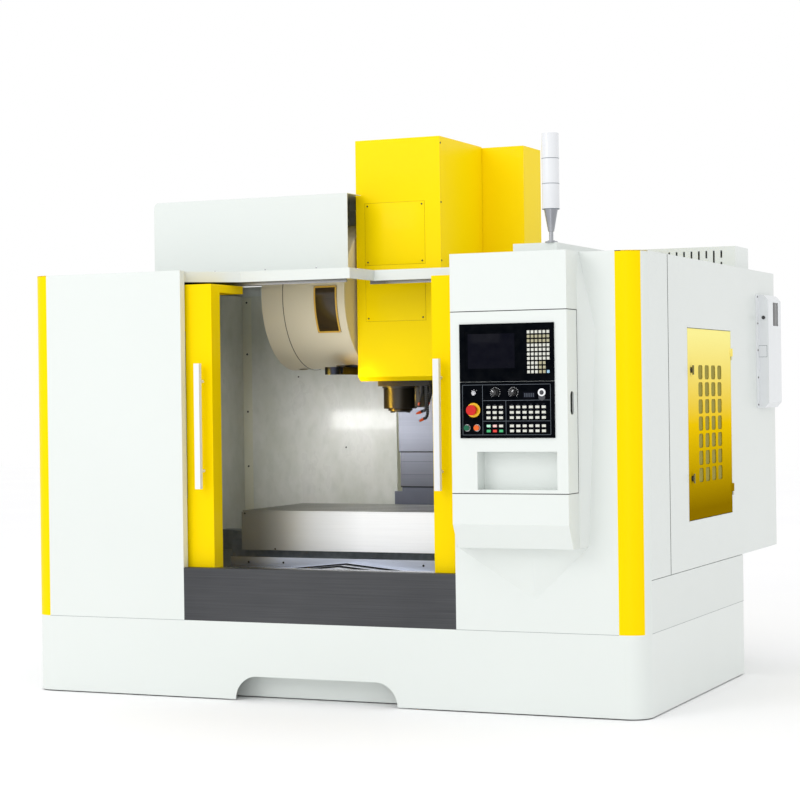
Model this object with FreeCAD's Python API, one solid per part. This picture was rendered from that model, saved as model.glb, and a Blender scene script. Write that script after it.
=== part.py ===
import FreeCAD, Part
import math
import os

V = FreeCAD.Vector
os.makedirs("parts", exist_ok=True)

# Vertical machining centre.  Layout frame: x = 0 on the spindle axis, y = 0 on the front guard
# plane, z = 0 on the floor; x to the right, y to the back, z up.  Millimetres.

# ---- overall sizes ----
half_width = 1654.5
guard_height = 2150
right_extra_height = 12
base_height = 391
base_depth = 1736
cabinet_depth = 2479
base_sheet = 4
skirt_clearance = 6
notch_left = -474.5
notch_right = 405.5
notch_radius = 116
notch_floor = 6
notch_depth = 130
side_depth = 20
overhang_height = 639
sheet = 3
corner_radius = 100
post_flat = 29
seat_gap = 0.3
fit_gap = 0.05
panel_gap = 3

# ---- door opening and doors ----
opening_left = -762
opening_right = 716.5
apron_top = 655
door_travel = 600
door_meeting_x = -16.5
door_meeting_gap = 2
door_overlap = 18
door_front_y = 60
door_depth = 90
door_bottom = 652
door_top_gap = 70
door_hood_height = 40
door_stile = 150
window_bottom = 1000
window_top_inset = 235
window_thickness = 8
window_lap = 20
handle_inset = 55
handle_width = 30
handle_thickness = 25
handle_front_y = -5
handle_bottom = 1050
handle_length = 630
handle_standoff_inset = 90
handle_standoff_r = 8
track_height = 8
track_clearance = 0.5
apron_depth = 52
hood_reach = 110
rail_setback = 24
rail_thickness = 12

# ---- roof and inner guard ----
roof_thickness = 54
panel_depth = 45
slide_gap = 20
roof_way_gap = 12
roof_left_front = 112
roof_band_y = 290
roof_step_y = 585
roof_step_x = 45
roof_notch_left = -794.5
roof_notch_right = -571.5
inner_half_width = 1332
inner_wall_gap = 15
back_wall_y = 1738
pan_outer_height = 650
pan_inner_height = 540
pan_inner_x = 600
duct_left = 991.5
duct_right = 1210.5
duct_front = 100
duct_back = 900
duct_height = 56

# ---- castings and axes ----
spindle_y = 1000
table_y = 870
foot_height = 60
foot_pad_r = 75
foot_pad_height = 20
foot_screw_r = 20
foot_nut_r = 34
foot_inner_x = 270
foot_outer_x = 800
foot_inset = 120
bed_half_width = 950
bed_front = 190
bed_back = 1700
bed_top = 520
bed_rib_x = 480
bed_rib_rows = (700, 1200)
bed_rib_half = 60
bed_pocket_top = 380
bed_rear_pocket_top = 440
foot_boss_wall = 30
rail_pad_height = 25
rail_width = 45
rail_height = 38
y_rail_x = 400
y_rail_front = 240
y_rail_back = 1690
screw_r = 20
y_screw_z = 500
column_window_y = 2020
column_window_z = 900
column_window_r = 120
column_front = 1830
column_half_width = 460
column_upper_half = 360
column_waist = 1500
column_top = 2600
column_back = 2330
column_upper_back = 2150
column_wall = 40
z_rail_x = 290
z_rail_height = 45
z_rail_bottom = 1000
z_rail_top = 2560
z_screw_y = 1807

# ---- saddle, table ----
saddle_half_width = 820
saddle_half_depth = 250
saddle_bottom = 590
saddle_top = 760
x_rail_offset = 210
x_screw_z = 740
table_length = 1400
table_depth = 700
table_top = 915
table_thickness = 110
slot_count = 5
slot_pitch = 125
slot_width = 18
slot_neck = 22
slot_foot_width = 30
slot_foot_height = 14
apron_bottom = 709
apron_sheet = 4

# ---- way covers ----
cover_step = 6
wiper_width = 12
y_cover_half = 540
y_cover_ridge = 655
y_cover_slope = 0.1
y_cover_skirt_bottom = 575
saddle_plate_half = 695
saddle_plate_bottom = 598
saddle_plate_top = 684
y_cover_front_gap = 4.5
y_travel_front = 220
cover_clearance = 0.5
z_cover_half = 321
z_cover_front = 1700
z_cover_back = 1733
z_cover_upper_bottom = 1181
z_cover_middle_bottom = 983
z_cover_middle_top = 1360
z_cover_fixed_top = 1160
z_cover_fixed_bottom = 600

# ---- spindle head ----
head_half_width = 160
head_front = 880
head_bottom = 1586
head_top = 2250
slide_half_width = 330
slide_front = 1700
slide_back = 1780
slide_bottom = 1560
head_cover_left = -170.5
head_cover_right = 310.5
head_cover_front = 840
head_cover_back = 1435
head_cover_bottom = 1605
head_cover_lip = 22
head_cover_top = 2850
nose_plate_left = -95
nose_plate_right = 200
nose_plate_setback = 45
nose_plate_reach = 125
nose_plate_bottom = 1555
nose_r = 88
nose_bottom = 1438
nozzle_places = [(148, -60, 0.25), (172, 10, 0.35), (148, 70, 0.25)]
nozzle_base_height = 35
nozzle_base_r = 14
nozzle_root_r = 9
nozzle_tip_r = 5
nozzle_length = 70
spindle_r = 55
spindle_bottom = 1425
spindle_top = 2200
taper_mouth_r = 22.225
taper_depth = 68
taper_small_r = 12.5
motor_half = 120
motor_top = 2700

# ---- column top cover ----
top_cover_left = -440
top_cover_right = 551
top_cover_front = 1438
top_cover_back = 1706
top_cover_top = 2845
hood_half = 330

# ---- tool magazine ----
drum_left = -671.5
drum_right = -183.5
drum_y = 1100
drum_drop = 112
drum_r = 388
drum_back_cut = 1400
drum_window_left = -361
drum_window_right = -228
drum_window_above = 7
drum_window_below = 30
drum_window_thickness = 5
disc_x = -440
disc_thickness = 15
disc_r = 330
pot_count = 24
pot_circle_r = 298
pot_r = 35
pot_length = 115
shaft_r = 25
bracket_thickness = 40
arm_x = -277
arm_y = 1050
arm_half_length = 281
arm_z = 1620
arm_thickness = 40
arm_way_half = 92
arm_way_reach = 75
pot_way_left = -620
pot_way_right = -490
pot_way_half = 75
arm_shaft_r = 30
cam_box_bottom = 1745
cam_box_right = -195
cam_box_front = 110
cam_box_reach = 190
mag_cover_left = -1291.5
mag_cover_right = -180
mag_cover_front = 660
mag_cover_back = 1640
mag_cover_height = 412
mag_cover_radius = 30
mag_cover_lip = 43

# ---- console ----
console_left = 784
console_right = 1356
console_front = -190
fairing_depth = 45
console_bottom = 792
console_door_bottom = 1046
console_door_top = 1894
console_crease = 905
console_slant = 60
console_gap = 3
console_door_back = -50
hinge_inset_x = 9.5
hinge_inset_y = 14
hinge_pin_r = 5
grip_front = -150
grip_back = -103
grip_bottom = 1410
grip_top = 1517
grip_radius = 20
grip_depth = 22
panel_left = 830.5
panel_right = 1295.5
panel_bottom = 1305
panel_top = 1833
panel_split = 1565
panel_proud = 6
niche_left = 910.5
niche_right = 1302.5
niche_bottom = 1066
niche_top = 1242
niche_depth = 90
screen_left = 858
screen_right = 1118
screen_bottom = 1612
screen_top = 1801
key_height = 3
letter_columns = 6
letter_rows = 10
letter_gaps = (7, 8)
letter_x = 1172
letter_z = 1791
letter_step_x = 19.1
letter_step_z = 20.3
letter_half = 7
key_half_width = 9.5
key_half_height = 6
key_blocks = [(972, 1447.5, 3, 3, 30.8, 24.3), (972, 1361, 3, 2, 30.8, 23),
              (1087, 1447.5, 6, 3, 31.2, 24.3), (1087, 1361, 6, 2, 31.2, 23)]
estop_x = 898
estop_z = 1435
estop_head_r = 24
estop_proud = 35
start_x = 865
hold_x = 914
start_z = 1353
start_r = 13
button_proud = 12
stem_r = 8
knob_z = 1515
feed_knob_x = 1007
spindle_knob_x = 1095
knob_r = 17
knob_proud = 24
key_switch_x = 901
key_switch_z = 1514
key_switch_r = 11

# ---- right side ----
side_seam_y = 409
vent_front = 733
vent_back = 1537
vent_bottom = 875
vent_top = 1818
vent_rows = 7
vent_columns = 4
vent_slot_width = 80
vent_slot_height = 71
vent_pitch_y = 118
vent_pitch_z = 85.3
vent_first_y = 186
vent_first_z = 180
vent_slot_radius = 16
vent_latch_inset = 55
vent_latch_drops = (205, 738)
cooler_front = 2110
cooler_back = 2395
cooler_flange_front = 2068
cooler_flange_back = 2430
cooler_bottom = 1412
cooler_top = 2030
cooler_depth = 60
cooler_flange = 6
cooler_fold = 25
cooler_slope = 30
cooler_screen = (2215, 2330, 1862, 1990)
cooler_screen_depth = 3
cable_entry_x = 200
cable_entry_inset = 120
cable_entry_r = 25
resistor_left = 820.5
resistor_right = 1563.5
resistor_pitch = 42
resistor_inset = 78
resistor_slot_half = 5
resistor_slots = (((62, 22), (106, 84)), ((102, 22),))
resistor_front = 2000
resistor_back = 2275
resistor_height = 134
cabinet_left = 820.5
lamp_x = 1177.5
lamp_y = 118
lamp_r = 41
lamp_stem_height = 158
lamp_lens_height = 357

# ---- derived ----
right_top = guard_height + right_extra_height
door_top = guard_height - door_top_gap
window_top = door_top - window_top_inset
inner_wall_front = door_front_y + door_depth + inner_wall_gap
drum_z = guard_height - drum_drop
mag_cover_top = guard_height + mag_cover_height
resistor_top = right_top + resistor_height
lamp_bottom = right_top + duct_height + lamp_stem_height
lamp_top = lamp_bottom + lamp_lens_height
roof_bottom = guard_height - roof_thickness
left_hood_back = roof_band_y + hood_reach
right_hood_back = roof_step_y + hood_reach
front_reach = console_front - panel_proud - estop_proud
y_cover_nested_y = door_front_y + door_depth + y_cover_front_gap
y_cover_length = table_y - saddle_half_depth - y_travel_front - cover_clearance - y_cover_nested_y
ORIGIN = V(cooler_depth / 2, (cabinet_depth + front_reach) / 2, 0)


def box(x0, x1, y0, y1, z0, z1):
    return Part.makeBox(x1 - x0, y1 - y0, z1 - z0, V(x0, y0, z0))


def prism(points, direction):
    wire = Part.makePolygon([V(*p) for p in points] + [V(*points[0])])
    return Part.Face(wire).extrude(V(*direction))


def prism_x(points, x0, x1):
    return prism([(x0, y, z) for y, z in points], (x1 - x0, 0, 0))


def prism_y(points, y0, y1):
    return prism([(x, y0, z) for x, z in points], (0, y1 - y0, 0))


def prism_z(points, z0, z1):
    return prism([(x, y, z0) for x, y in points], (0, 0, z1 - z0))


def rod_x(x0, x1, y, z, r):
    return Part.makeCylinder(r, x1 - x0, V(x0, y, z), V(1, 0, 0))


def rod_y(x, y0, y1, z, r):
    return Part.makeCylinder(r, y1 - y0, V(x, y0, z), V(0, 1, 0))


def rod_z(x, y, z0, z1, r):
    return Part.makeCylinder(r, z1 - z0, V(x, y, z0), V(0, 0, 1))


def fuse(*shapes):
    return shapes[0].fuse(list(shapes[1:])).removeSplitter()


def cut(shape, *tools):
    return shape.cut(list(tools))


def save(node, *shapes):
    moved = [s.copy() for s in shapes]
    for s in moved:
        s.translate(V(0, 0, 0) - ORIGIN)
    whole = moved[0] if len(moved) == 1 else Part.makeCompound(moved)
    whole.exportStep("parts/" + node + ".step")
    print(node, len(whole.Solids), whole.isValid(), round(whole.Volume / 1e6, 2))


def pan(x0, x1, y0, y1, z0, z1, open_side, wall=sheet):
    """A folded sheet tray: a box of sheet metal with one open side."""
    lo = {"x": x0 + wall, "y": y0 + wall, "z": z0 + wall}
    hi = {"x": x1 - wall, "y": y1 - wall, "z": z1 - wall}
    past = {"+x": ("x", x1 + 1), "+y": ("y", y1 + 1), "+z": ("z", z1 + 1)}
    under = {"-x": ("x", x0 - 1), "-y": ("y", y0 - 1), "-z": ("z", z0 - 1)}
    if open_side in past:
        axis, value = past[open_side]
        hi[axis] = value
    else:
        axis, value = under[open_side]
        lo[axis] = value
    inner = box(lo["x"], hi["x"], lo["y"], hi["y"], lo["z"], hi["z"])
    return cut(box(x0, x1, y0, y1, z0, z1), inner)


def plan_with_round_fronts(inset, back):
    """Plan outline of the base: a rectangle whose two front corners are rounded."""
    x = half_width - inset
    r = corner_radius - inset
    y0 = inset
    s = r * math.sin(math.pi / 4)
    left_mid = V(-x + r - s, y0 + r - s, 0)
    right_mid = V(x - r + s, y0 + r - s, 0)
    edges = [
        Part.Arc(V(-x, y0 + r, 0), left_mid, V(-x + r, y0, 0)).toShape(),
        Part.LineSegment(V(-x + r, y0, 0), V(x - r, y0, 0)).toShape(),
        Part.Arc(V(x - r, y0, 0), right_mid, V(x, y0 + r, 0)).toShape(),
        Part.LineSegment(V(x, y0 + r, 0), V(x, back, 0)).toShape(),
        Part.LineSegment(V(x, back, 0), V(-x, back, 0)).toShape(),
        Part.LineSegment(V(-x, back, 0), V(-x, y0 + r, 0)).toShape(),
    ]
    return Part.Face(Part.Wire(edges))


# ---- feet, bed, column ----
def foot_places():
    return [(s * x, y) for s in (-1, 1) for x in (foot_inner_x, foot_outer_x)
            for y in (bed_front + foot_inset, bed_back - foot_inset)]


def levelling_pads():
    pads = []
    for x, y in foot_places():
        foot = fuse(rod_z(x, y, 0, foot_pad_height, foot_pad_r),
                    rod_z(x, y, foot_pad_height, foot_height - 12, foot_screw_r))
        pads.append(fuse(foot, rod_z(x, y, foot_height - 12, foot_height, foot_nut_r)))
    return pads


def machine_bed():
    bed = box(-bed_half_width, bed_half_width, bed_front, bed_back, foot_height, bed_top)
    rear = box(-column_half_width - 40, column_half_width + 40, bed_back, column_back + 20,
               foot_height, z_cover_fixed_bottom - 40)
    bed = fuse(bed, rear)
    for side in (-1, 1):
        x = side * y_rail_x
        bed = fuse(bed, box(x - 60, x + 60, y_rail_front - 10, bed_back, bed_top,
                            bed_top + rail_pad_height))
    pockets = []
    bosses = [rod_z(x, y, 0, bed_top, foot_nut_r + foot_boss_wall) for x, y in foot_places()]
    columns = [-bed_half_width, -bed_rib_x, 0, bed_rib_x, bed_half_width]
    rows = [bed_front, *bed_rib_rows, bed_back]
    w = bed_rib_half
    for x0, x1 in zip(columns, columns[1:]):
        for y0, y1 in zip(rows, rows[1:]):
            pocket = box(x0 + w, x1 - w, y0 + w, y1 - w, foot_height - 1, bed_pocket_top)
            pockets.append(cut(pocket, *bosses))
    pockets.append(box(-column_half_width + 30, column_half_width - 30, bed_back + w,
                       column_back - 50, foot_height - 1, bed_rear_pocket_top))
    channel = box(-80, 80, bed_front - 1, y_rail_back + 5, y_screw_z - 60, bed_top + 1)
    return cut(bed, channel, *pockets)


def column():
    side = [(column_front, z_cover_fixed_bottom - 40), (column_front, column_top),
            (column_upper_back, column_top), (column_back, column_waist - 300),
            (column_back, z_cover_fixed_bottom - 40)]
    body = prism_x(side, -column_half_width, column_half_width)
    for s in (-1, 1):
        wedge = [(s * (column_half_width + 1), column_waist - 350),
                 (s * column_half_width, column_waist - 350),
                 (s * column_upper_half, column_waist),
                 (s * column_upper_half, column_top + 1),
                 (s * (column_half_width + 1), column_top + 1)]
        body = cut(body, prism_y(wedge, column_front - 1, column_back + 1))
    hollow = box(-column_upper_half + column_wall, column_upper_half - column_wall,
                 column_front + 100, column_upper_back - column_wall,
                 z_cover_fixed_bottom - 41, column_top - column_wall)
    groove = box(-60, 60, column_front - 1, column_front + 50, z_rail_bottom - 10, column_top + 1)
    window = rod_x(-column_half_width - 1, column_half_width + 1, column_window_y,
                   column_window_z, column_window_r)
    return cut(body, hollow, groove, window)


def linear_rails():
    rails = []
    top = bed_top + rail_pad_height
    for s in (-1, 1):
        x = s * y_rail_x
        rails.append(box(x - rail_width / 2, x + rail_width / 2, y_rail_front, y_rail_back,
                         top, top + rail_height))
        x = s * z_rail_x
        rails.append(box(x - rail_width / 2, x + rail_width / 2, column_front - z_rail_height,
                         column_front, z_rail_bottom, z_rail_top))
    for y0, y1 in ((y_rail_front, y_rail_front + 50), (y_rail_back - 50, y_rail_back)):
        block = box(-55, 55, y0, y1, y_screw_z - 60, y_screw_z + 55)
        rails.append(cut(block, rod_y(0, y0 - 1, y1 + 1, y_screw_z, screw_r + fit_gap)))
    for z0, z1 in ((z_rail_bottom, z_rail_bottom + 60), (column_top - 60, column_top)):
        block = box(-50, 50, z_screw_y - 22, column_front + 50, z0, z1)
        rails.append(cut(block, rod_z(0, z_screw_y, z0 - 1, z1 + 1, screw_r + fit_gap)))
    return rails


def axis_servos():
    y_flange = box(-70, 70, bed_front - 20, bed_front, y_screw_z - 60, y_screw_z + 60)
    y_motor = fuse(y_flange, box(-60, 60, bed_front - 130, bed_front - 20, y_screw_z - 55,
                                 y_screw_z + 55))
    flange = box(-100, 100, z_screw_y - 65, column_front + 80, column_top, column_top + 20)
    z_motor = fuse(flange, box(-65, 65, z_screw_y - 65, z_screw_y + 65, column_top + 20,
                               column_top + 225))
    return [y_motor, z_motor]


def ball_screws():
    y_screw = rod_y(0, bed_front + seat_gap, y_rail_back - 2, y_screw_z, screw_r)
    x_screw = rod_x(-saddle_half_width + 2, saddle_half_width - 2, table_y, x_screw_z, screw_r)
    z_screw = rod_z(0, z_screw_y, z_rail_bottom + 2, column_top - seat_gap, screw_r)
    return x_screw, y_screw, z_screw


# ---- guard ----
def base_skirt():
    outer = plan_with_round_fronts(0, base_depth).extrude(V(0, 0, base_height - skirt_clearance))
    inner = plan_with_round_fronts(base_sheet, base_depth - base_sheet)
    skirt = cut(outer, inner.extrude(V(0, 0, base_height)))
    skirt.translate(V(0, 0, skirt_clearance))
    left, right, r = notch_left, notch_right, notch_radius
    s = r * math.sin(math.pi / 4)
    floor = notch_floor
    top = floor + r
    outline = [
        Part.LineSegment(V(left, 0, -1), V(left, 0, floor)).toShape(),
        Part.Arc(V(left, 0, floor), V(left + r - s, 0, floor + s), V(left + r, 0, top)).toShape(),
        Part.LineSegment(V(left + r, 0, top), V(right - r, 0, top)).toShape(),
        Part.Arc(V(right - r, 0, top), V(right - r + s, 0, floor + s), V(right, 0, floor)).toShape(),
        Part.LineSegment(V(right, 0, floor), V(right, 0, -1)).toShape(),
        Part.LineSegment(V(right, 0, -1), V(left, 0, -1)).toShape(),
    ]
    tool = Part.Face(Part.Wire(outline)).extrude(V(0, 60, 0))
    tool.translate(V(0, -30, 0))
    rear_way = box(-column_half_width - 60, column_half_width + 60, base_depth - 20,
                   base_depth + 20, 0, base_height + 1)
    skirt = cut(skirt, tool, rear_way)
    t = base_sheet
    depth = notch_depth
    liner = [(t, top + 20), (depth, top + 20), (depth, skirt_clearance),
             (depth - t, skirt_clearance), (depth - t, top + 20 - t), (t, top + 20 - t)]
    liner = prism_x(liner, left - 60, right + 60)
    flange = cut(box(-half_width + t, half_width - t, t, base_depth - t, base_height - t,
                     base_height),
                 box(-half_width + 60, half_width - 60, 56, base_depth - 20, base_height - t - 1,
                     base_height + 1), rear_way)
    flange = flange.common(inner_plan_column())
    ribs = []
    for s in (-1, 1):
        for y in (bed_front + 300, bed_back - 300):
            x0, x1 = sorted((s * bed_half_width, s * (half_width - base_sheet)))
            ribs.append(box(x0, x1, y - 20, y + 20, base_height - 44, base_height - base_sheet))
    return fuse(skirt, liner, flange, *ribs)


def inner_plan_column():
    return plan_with_round_fronts(2, base_depth - 2).extrude(V(0, 0, base_height + 10))


def front_panel(x0, x1, top):
    return pan(x0, x1, 0, panel_depth, base_height, top, "+y")


def right_front_panel():
    return front_panel(opening_right, half_width - corner_radius - post_flat, right_top)


def corner_post(side, top):
    r = corner_radius
    flat = post_flat if side > 0 else 0
    s = math.sin(math.pi / 4)
    post = None
    for inset in (0, sheet):
        ri = r - inset
        cx = half_width - r
        lines = [
            Part.LineSegment(V(cx - flat, inset, 0), V(cx, inset, 0)).toShape() if flat else None,
            Part.Arc(V(cx, inset, 0), V(cx + ri * s, r - ri * s, 0), V(cx + ri, r, 0)).toShape(),
            Part.LineSegment(V(cx + ri, r, 0), V(cx - flat, r, 0)).toShape(),
            Part.LineSegment(V(cx - flat, r, 0), V(cx - flat, inset, 0)).toShape(),
        ]
        face = Part.Face(Part.Wire([e for e in lines if e]))
        solid = face.extrude(V(0, 0, top - base_height))
        post = solid if post is None else cut(post, solid)
    post.translate(V(0, 0, base_height))
    if side < 0:
        post = post.mirror(V(0, 0, 0), V(1, 0, 0))
    return post


def door_apron():
    return pan(opening_left, opening_right, 0, apron_depth, base_height, apron_top, "+y")


def door_tracks():
    x0 = opening_left - door_travel - door_overlap - 12
    x1 = opening_right + door_travel + door_overlap + 12
    z1 = door_bottom - track_clearance
    lower = box(x0, x1, apron_depth, door_front_y + door_depth, z1 - track_height, z1)
    rails = [lower]
    for a, b, hood in ((x0, door_meeting_x, left_hood_back), (door_meeting_x, x1, right_hood_back)):
        y = hood - rail_setback
        rails.append(box(a, b, y, y + rail_thickness, door_top + 3, guard_height - sheet))
    return rails


def roof_panels():
    x = half_width - side_depth
    front = corner_radius + 2
    outline = [(-x, front), (-half_width + corner_radius, front),
               (-half_width + corner_radius, panel_depth), (roof_notch_left, panel_depth),
               (roof_notch_left, roof_left_front), (roof_notch_right, roof_band_y),
               (roof_step_x, roof_band_y), (roof_step_x, roof_step_y), (opening_right, roof_step_y),
               (opening_right, back_wall_y), (-x, back_wall_y)]
    t = sheet
    inner = [(-x + t, front + t), (-half_width + corner_radius + t, front + t),
             (-half_width + corner_radius + t, panel_depth + t),
             (roof_notch_left - t, panel_depth + t), (roof_notch_left - t, roof_left_front + t),
             (roof_notch_right - 1, roof_band_y + t), (roof_step_x - t, roof_band_y + t),
             (roof_step_x - t, roof_step_y + t), (opening_right - t, roof_step_y + t),
             (opening_right - t, back_wall_y - t), (-x + t, back_wall_y - t)]
    plate = cut(prism_z(outline, roof_bottom, guard_height),
                prism_z(inner, roof_bottom - 1, guard_height - t))
    low, high = roof_bottom - 1, guard_height + 1
    head_way = box(head_cover_left - roof_way_gap, head_cover_right + roof_way_gap,
                   head_cover_front - roof_way_gap, slide_front, low, high)
    slide_way = box(-slide_half_width - slide_gap, slide_half_width + slide_gap,
                    slide_front - slide_gap, back_wall_y + 1, low, high)
    bracket_way = box(*bracket_span(), slide_front - slide_gap, back_wall_y + 1, low, high)
    mag_way = box(mag_cover_left + t, head_cover_left - roof_way_gap, mag_cover_front + t,
                  slide_front, low, high)
    rail_way = box(opening_right - 2 * t, opening_right + 2 * t, right_hood_back - rail_setback - 1,
                   right_hood_back - rail_setback + rail_thickness + 1, low, guard_height - t)
    left = cut(plate, head_way, slide_way, bracket_way, mag_way, rail_way)
    seams = [-x, mag_cover_left + t, head_cover_left - roof_way_gap, roof_step_x,
             head_cover_right + roof_way_gap, opening_right]
    strips = [left.common(box(a, b, 0, back_wall_y, low, high)) for a, b in zip(seams, seams[1:])]
    right = pan(opening_right, x, panel_depth, back_wall_y, roof_bottom, right_top, "-z")
    right = cut(right, rail_way, box(half_width - corner_radius - post_flat - 1, half_width, 0,
                                     front, low, right_top + 1))
    duct = pan(duct_left, duct_right, duct_front, duct_back, right_top, right_top + duct_height,
               "-z")
    return strips + [right, duct]


def bracket_span():
    """Width of the passage left for the magazine bracket."""
    return (-column_upper_half - bracket_thickness - 5, -column_upper_half + 5)


def side_panels():
    left = pan(-half_width, -half_width + side_depth, corner_radius, back_wall_y + sheet,
               base_height, guard_height, "+x")
    inside = half_width - side_depth
    strip = pan(inside, half_width, corner_radius, side_seam_y - panel_gap / 2,
                overhang_height, right_top, "-x")
    lower = pan(inside, half_width, corner_radius, back_wall_y + sheet, base_height,
                overhang_height - panel_gap, "-x")
    return [left, strip, lower]


def right_side_panel():
    panel = pan(half_width - side_depth, half_width, side_seam_y + panel_gap / 2, cabinet_depth,
                overhang_height, right_top, "-x")
    hole = box(half_width - side_depth - 10, half_width + 1, vent_front - panel_gap, vent_back + panel_gap,
               vent_bottom - panel_gap, vent_top + panel_gap)
    panel = cut(panel, hole)
    axis_x, axis_y = vent_hinge()
    for z in (vent_bottom + 120, vent_top - 120):
        leaf = box(half_width, half_width + 3, axis_y + 6, axis_y + 24, z - 30, z + 30)
        pin = rod_z(axis_x, axis_y, z - 30, z + 30, 2.5)
        knuckle = rod_z(axis_x, axis_y, z - 30, z - 12, 5)
        arm = box(half_width, axis_x + 2, axis_y + 1, axis_y + 7, z - 30, z - 12)
        panel = fuse(panel, leaf, pin, knuckle, arm)
    return panel


def vent_hinge():
    return half_width + 6, vent_back + panel_gap / 2


def vent_door():
    x1 = half_width
    door = pan(x1 - side_depth, x1, vent_front, vent_back, vent_bottom, vent_top, "-x")
    slots = []
    for i in range(vent_columns):
        for j in range(vent_rows):
            y0 = vent_front + vent_first_y + i * vent_pitch_y
            z1 = vent_top - vent_first_z - j * vent_pitch_z
            slot = box(x1 - 10, x1 + 1, y0, y0 + vent_slot_width, z1 - vent_slot_height, z1)
            slots.append(slot.makeFillet(vent_slot_radius,
                                         [e for e in slot.Edges if is_along_x(e)]))
    door = cut(door, *slots)
    axis_x, axis_y = vent_hinge()
    for z in (vent_bottom + 120, vent_top - 120):
        knuckle = rod_z(axis_x, axis_y, z - 11.5, z + 30, 5)
        arm = box(x1 - 1, axis_x + 2, axis_y - 5, axis_y - 2.5, z - 11.5, z + 30)
        plate = box(x1, x1 + 2.5, axis_y - 26, axis_y - 2.5, z - 11.5, z + 30)
        part = fuse(knuckle, arm, plate)
        door = fuse(door, cut(part, rod_z(axis_x, axis_y, z - 40, z + 40, 2.5 + fit_gap)))
    for drop in vent_latch_drops:
        y, z = vent_front + vent_latch_inset, vent_top - drop
        latch = fuse(rod_x(x1, x1 + 9, y, z, 13), box(x1 + 9, x1 + 15, y - 6, y + 6, z - 22, z + 22))
        door = fuse(door, latch)
    return door


def is_along_x(edge):
    a, b = edge.Vertexes[0].Point, edge.Vertexes[-1].Point
    return abs(a.y - b.y) < 1e-6 and abs(a.z - b.z) < 1e-6


def electrical_cabinet():
    x1 = half_width - side_depth
    shell = box(cabinet_left, x1, back_wall_y + sheet, cabinet_depth, overhang_height, right_top)
    hollow = box(cabinet_left + sheet, x1 - sheet, back_wall_y + 2 * sheet,
                 cabinet_depth - sheet, overhang_height + sheet, right_top - sheet)
    gland = rod_z(cabinet_left + cable_entry_x, cabinet_depth - cable_entry_inset,
                  overhang_height - 1, overhang_height + sheet + 1, cable_entry_r)
    return cut(shell, hollow, gland)


def cabinet_cooler():
    x0 = half_width
    x1 = x0 + cooler_depth
    flange = box(x0, x0 + cooler_flange, cooler_flange_front, cooler_flange_back,
                 cooler_bottom, cooler_top)
    profile = [(x0, cooler_bottom), (x1 - cooler_fold, cooler_bottom),
               (x1, cooler_bottom + cooler_slope), (x1, cooler_top - cooler_slope),
               (x1 - cooler_fold, cooler_top), (x0, cooler_top)]
    body = prism_y(profile, cooler_front, cooler_back)
    screen = box(x1 - cooler_screen_depth, x1 + 1, *cooler_screen)
    return cut(fuse(flange, body), screen)


def resistor_box():
    shell = box(resistor_left, resistor_right, resistor_front, resistor_back, right_top,
                resistor_top)
    shell = cut(shell, box(resistor_left + sheet, resistor_right - sheet, resistor_front + sheet,
                           resistor_back - sheet, right_top - 1, resistor_top - sheet))
    count = int((resistor_right - resistor_left - 80) / resistor_pitch)
    slots = []
    for i in range(count):
        x = resistor_right - resistor_inset - i * resistor_pitch
        for low, high in resistor_slots[i % 2]:
            slots.append(box(x - resistor_slot_half, x + resistor_slot_half, resistor_front - 1,
                             resistor_front + sheet + 1, resistor_top - low,
                             resistor_top - high))
    return cut(shell, *slots)


def inner_walls():
    walls = []
    low = base_height + 50
    under_hood = door_top - door_hood_height - 20
    for s, hood in ((-1, left_hood_back), (1, right_hood_back)):
        x0, x1 = sorted((s * inner_half_width, s * (inner_half_width + sheet)))
        side = [(inner_wall_front, low), (inner_wall_front, under_hood), (hood + 20, under_hood),
                (hood + 20, roof_bottom), (back_wall_y, roof_bottom), (back_wall_y, low)]
        wall = prism_x(side, x0, x1)
        x0, x1 = sorted((s * inner_half_width, s * (half_width - side_depth)))
        fold = box(x0, x1, inner_wall_front, inner_wall_front + sheet, low, under_hood)
        walls.append(fuse(wall, fold))
    x = half_width - side_depth
    back = box(-x, x, back_wall_y, back_wall_y + sheet, base_height, guard_height - sheet)
    bed_way = box(-column_half_width - 45, column_half_width + 45, back_wall_y - 1,
                  back_wall_y + 10, base_height - 1, z_cover_fixed_bottom - 35)
    way = box(-slide_half_width - slide_gap, slide_half_width + slide_gap, back_wall_y - 1,
              back_wall_y + 10, z_cover_fixed_bottom, guard_height + 1)
    bracket_way = box(*bracket_span(), back_wall_y - 1, back_wall_y + 10, roof_bottom,
                      guard_height + 1)
    walls.append(cut(back, bed_way, way, bracket_way))
    return walls


def chip_pans():
    pans = []
    for s in (-1, 1):
        line = [(s * inner_half_width, pan_outer_height), (s * pan_inner_x, pan_inner_height),
                (s * pan_inner_x, bed_top), (s * (pan_inner_x + sheet), bed_top),
                (s * (pan_inner_x + sheet), pan_inner_height - sheet),
                (s * inner_half_width, pan_outer_height - sheet)]
        pans.append(prism_y(line, door_front_y + door_depth + 2, back_wall_y))
    return pans


# ---- way covers ----
def gable(k, inset, low):
    """Outline of segment k, which sits k steps above the fixed one, moved in by an inset."""
    half = y_cover_half + k * cover_step
    ridge = y_cover_ridge + k * cover_step
    x = half - inset
    z = ridge - y_cover_slope * half - inset + y_cover_slope * inset
    return [(-x, low), (-x, z), (0, ridge - inset), (x, z), (x, low)]


def y_cover(k, y0, wiper):
    outer = gable(k, 0, y_cover_skirt_bottom)
    below = y_cover_skirt_bottom - 1
    shell = cut(prism_y(outer, y0, y0 + y_cover_length),
                prism_y(gable(k, sheet, below), y0 - 1, y0 + y_cover_length + 1))
    if wiper:
        lip = cut(prism_y(outer, y0, y0 + wiper_width),
                  prism_y(gable(k, cover_step - seat_gap, below), y0 - 1,
                          y0 + wiper_width + 1))
        shell = fuse(shell, lip)
    return shell


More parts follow.
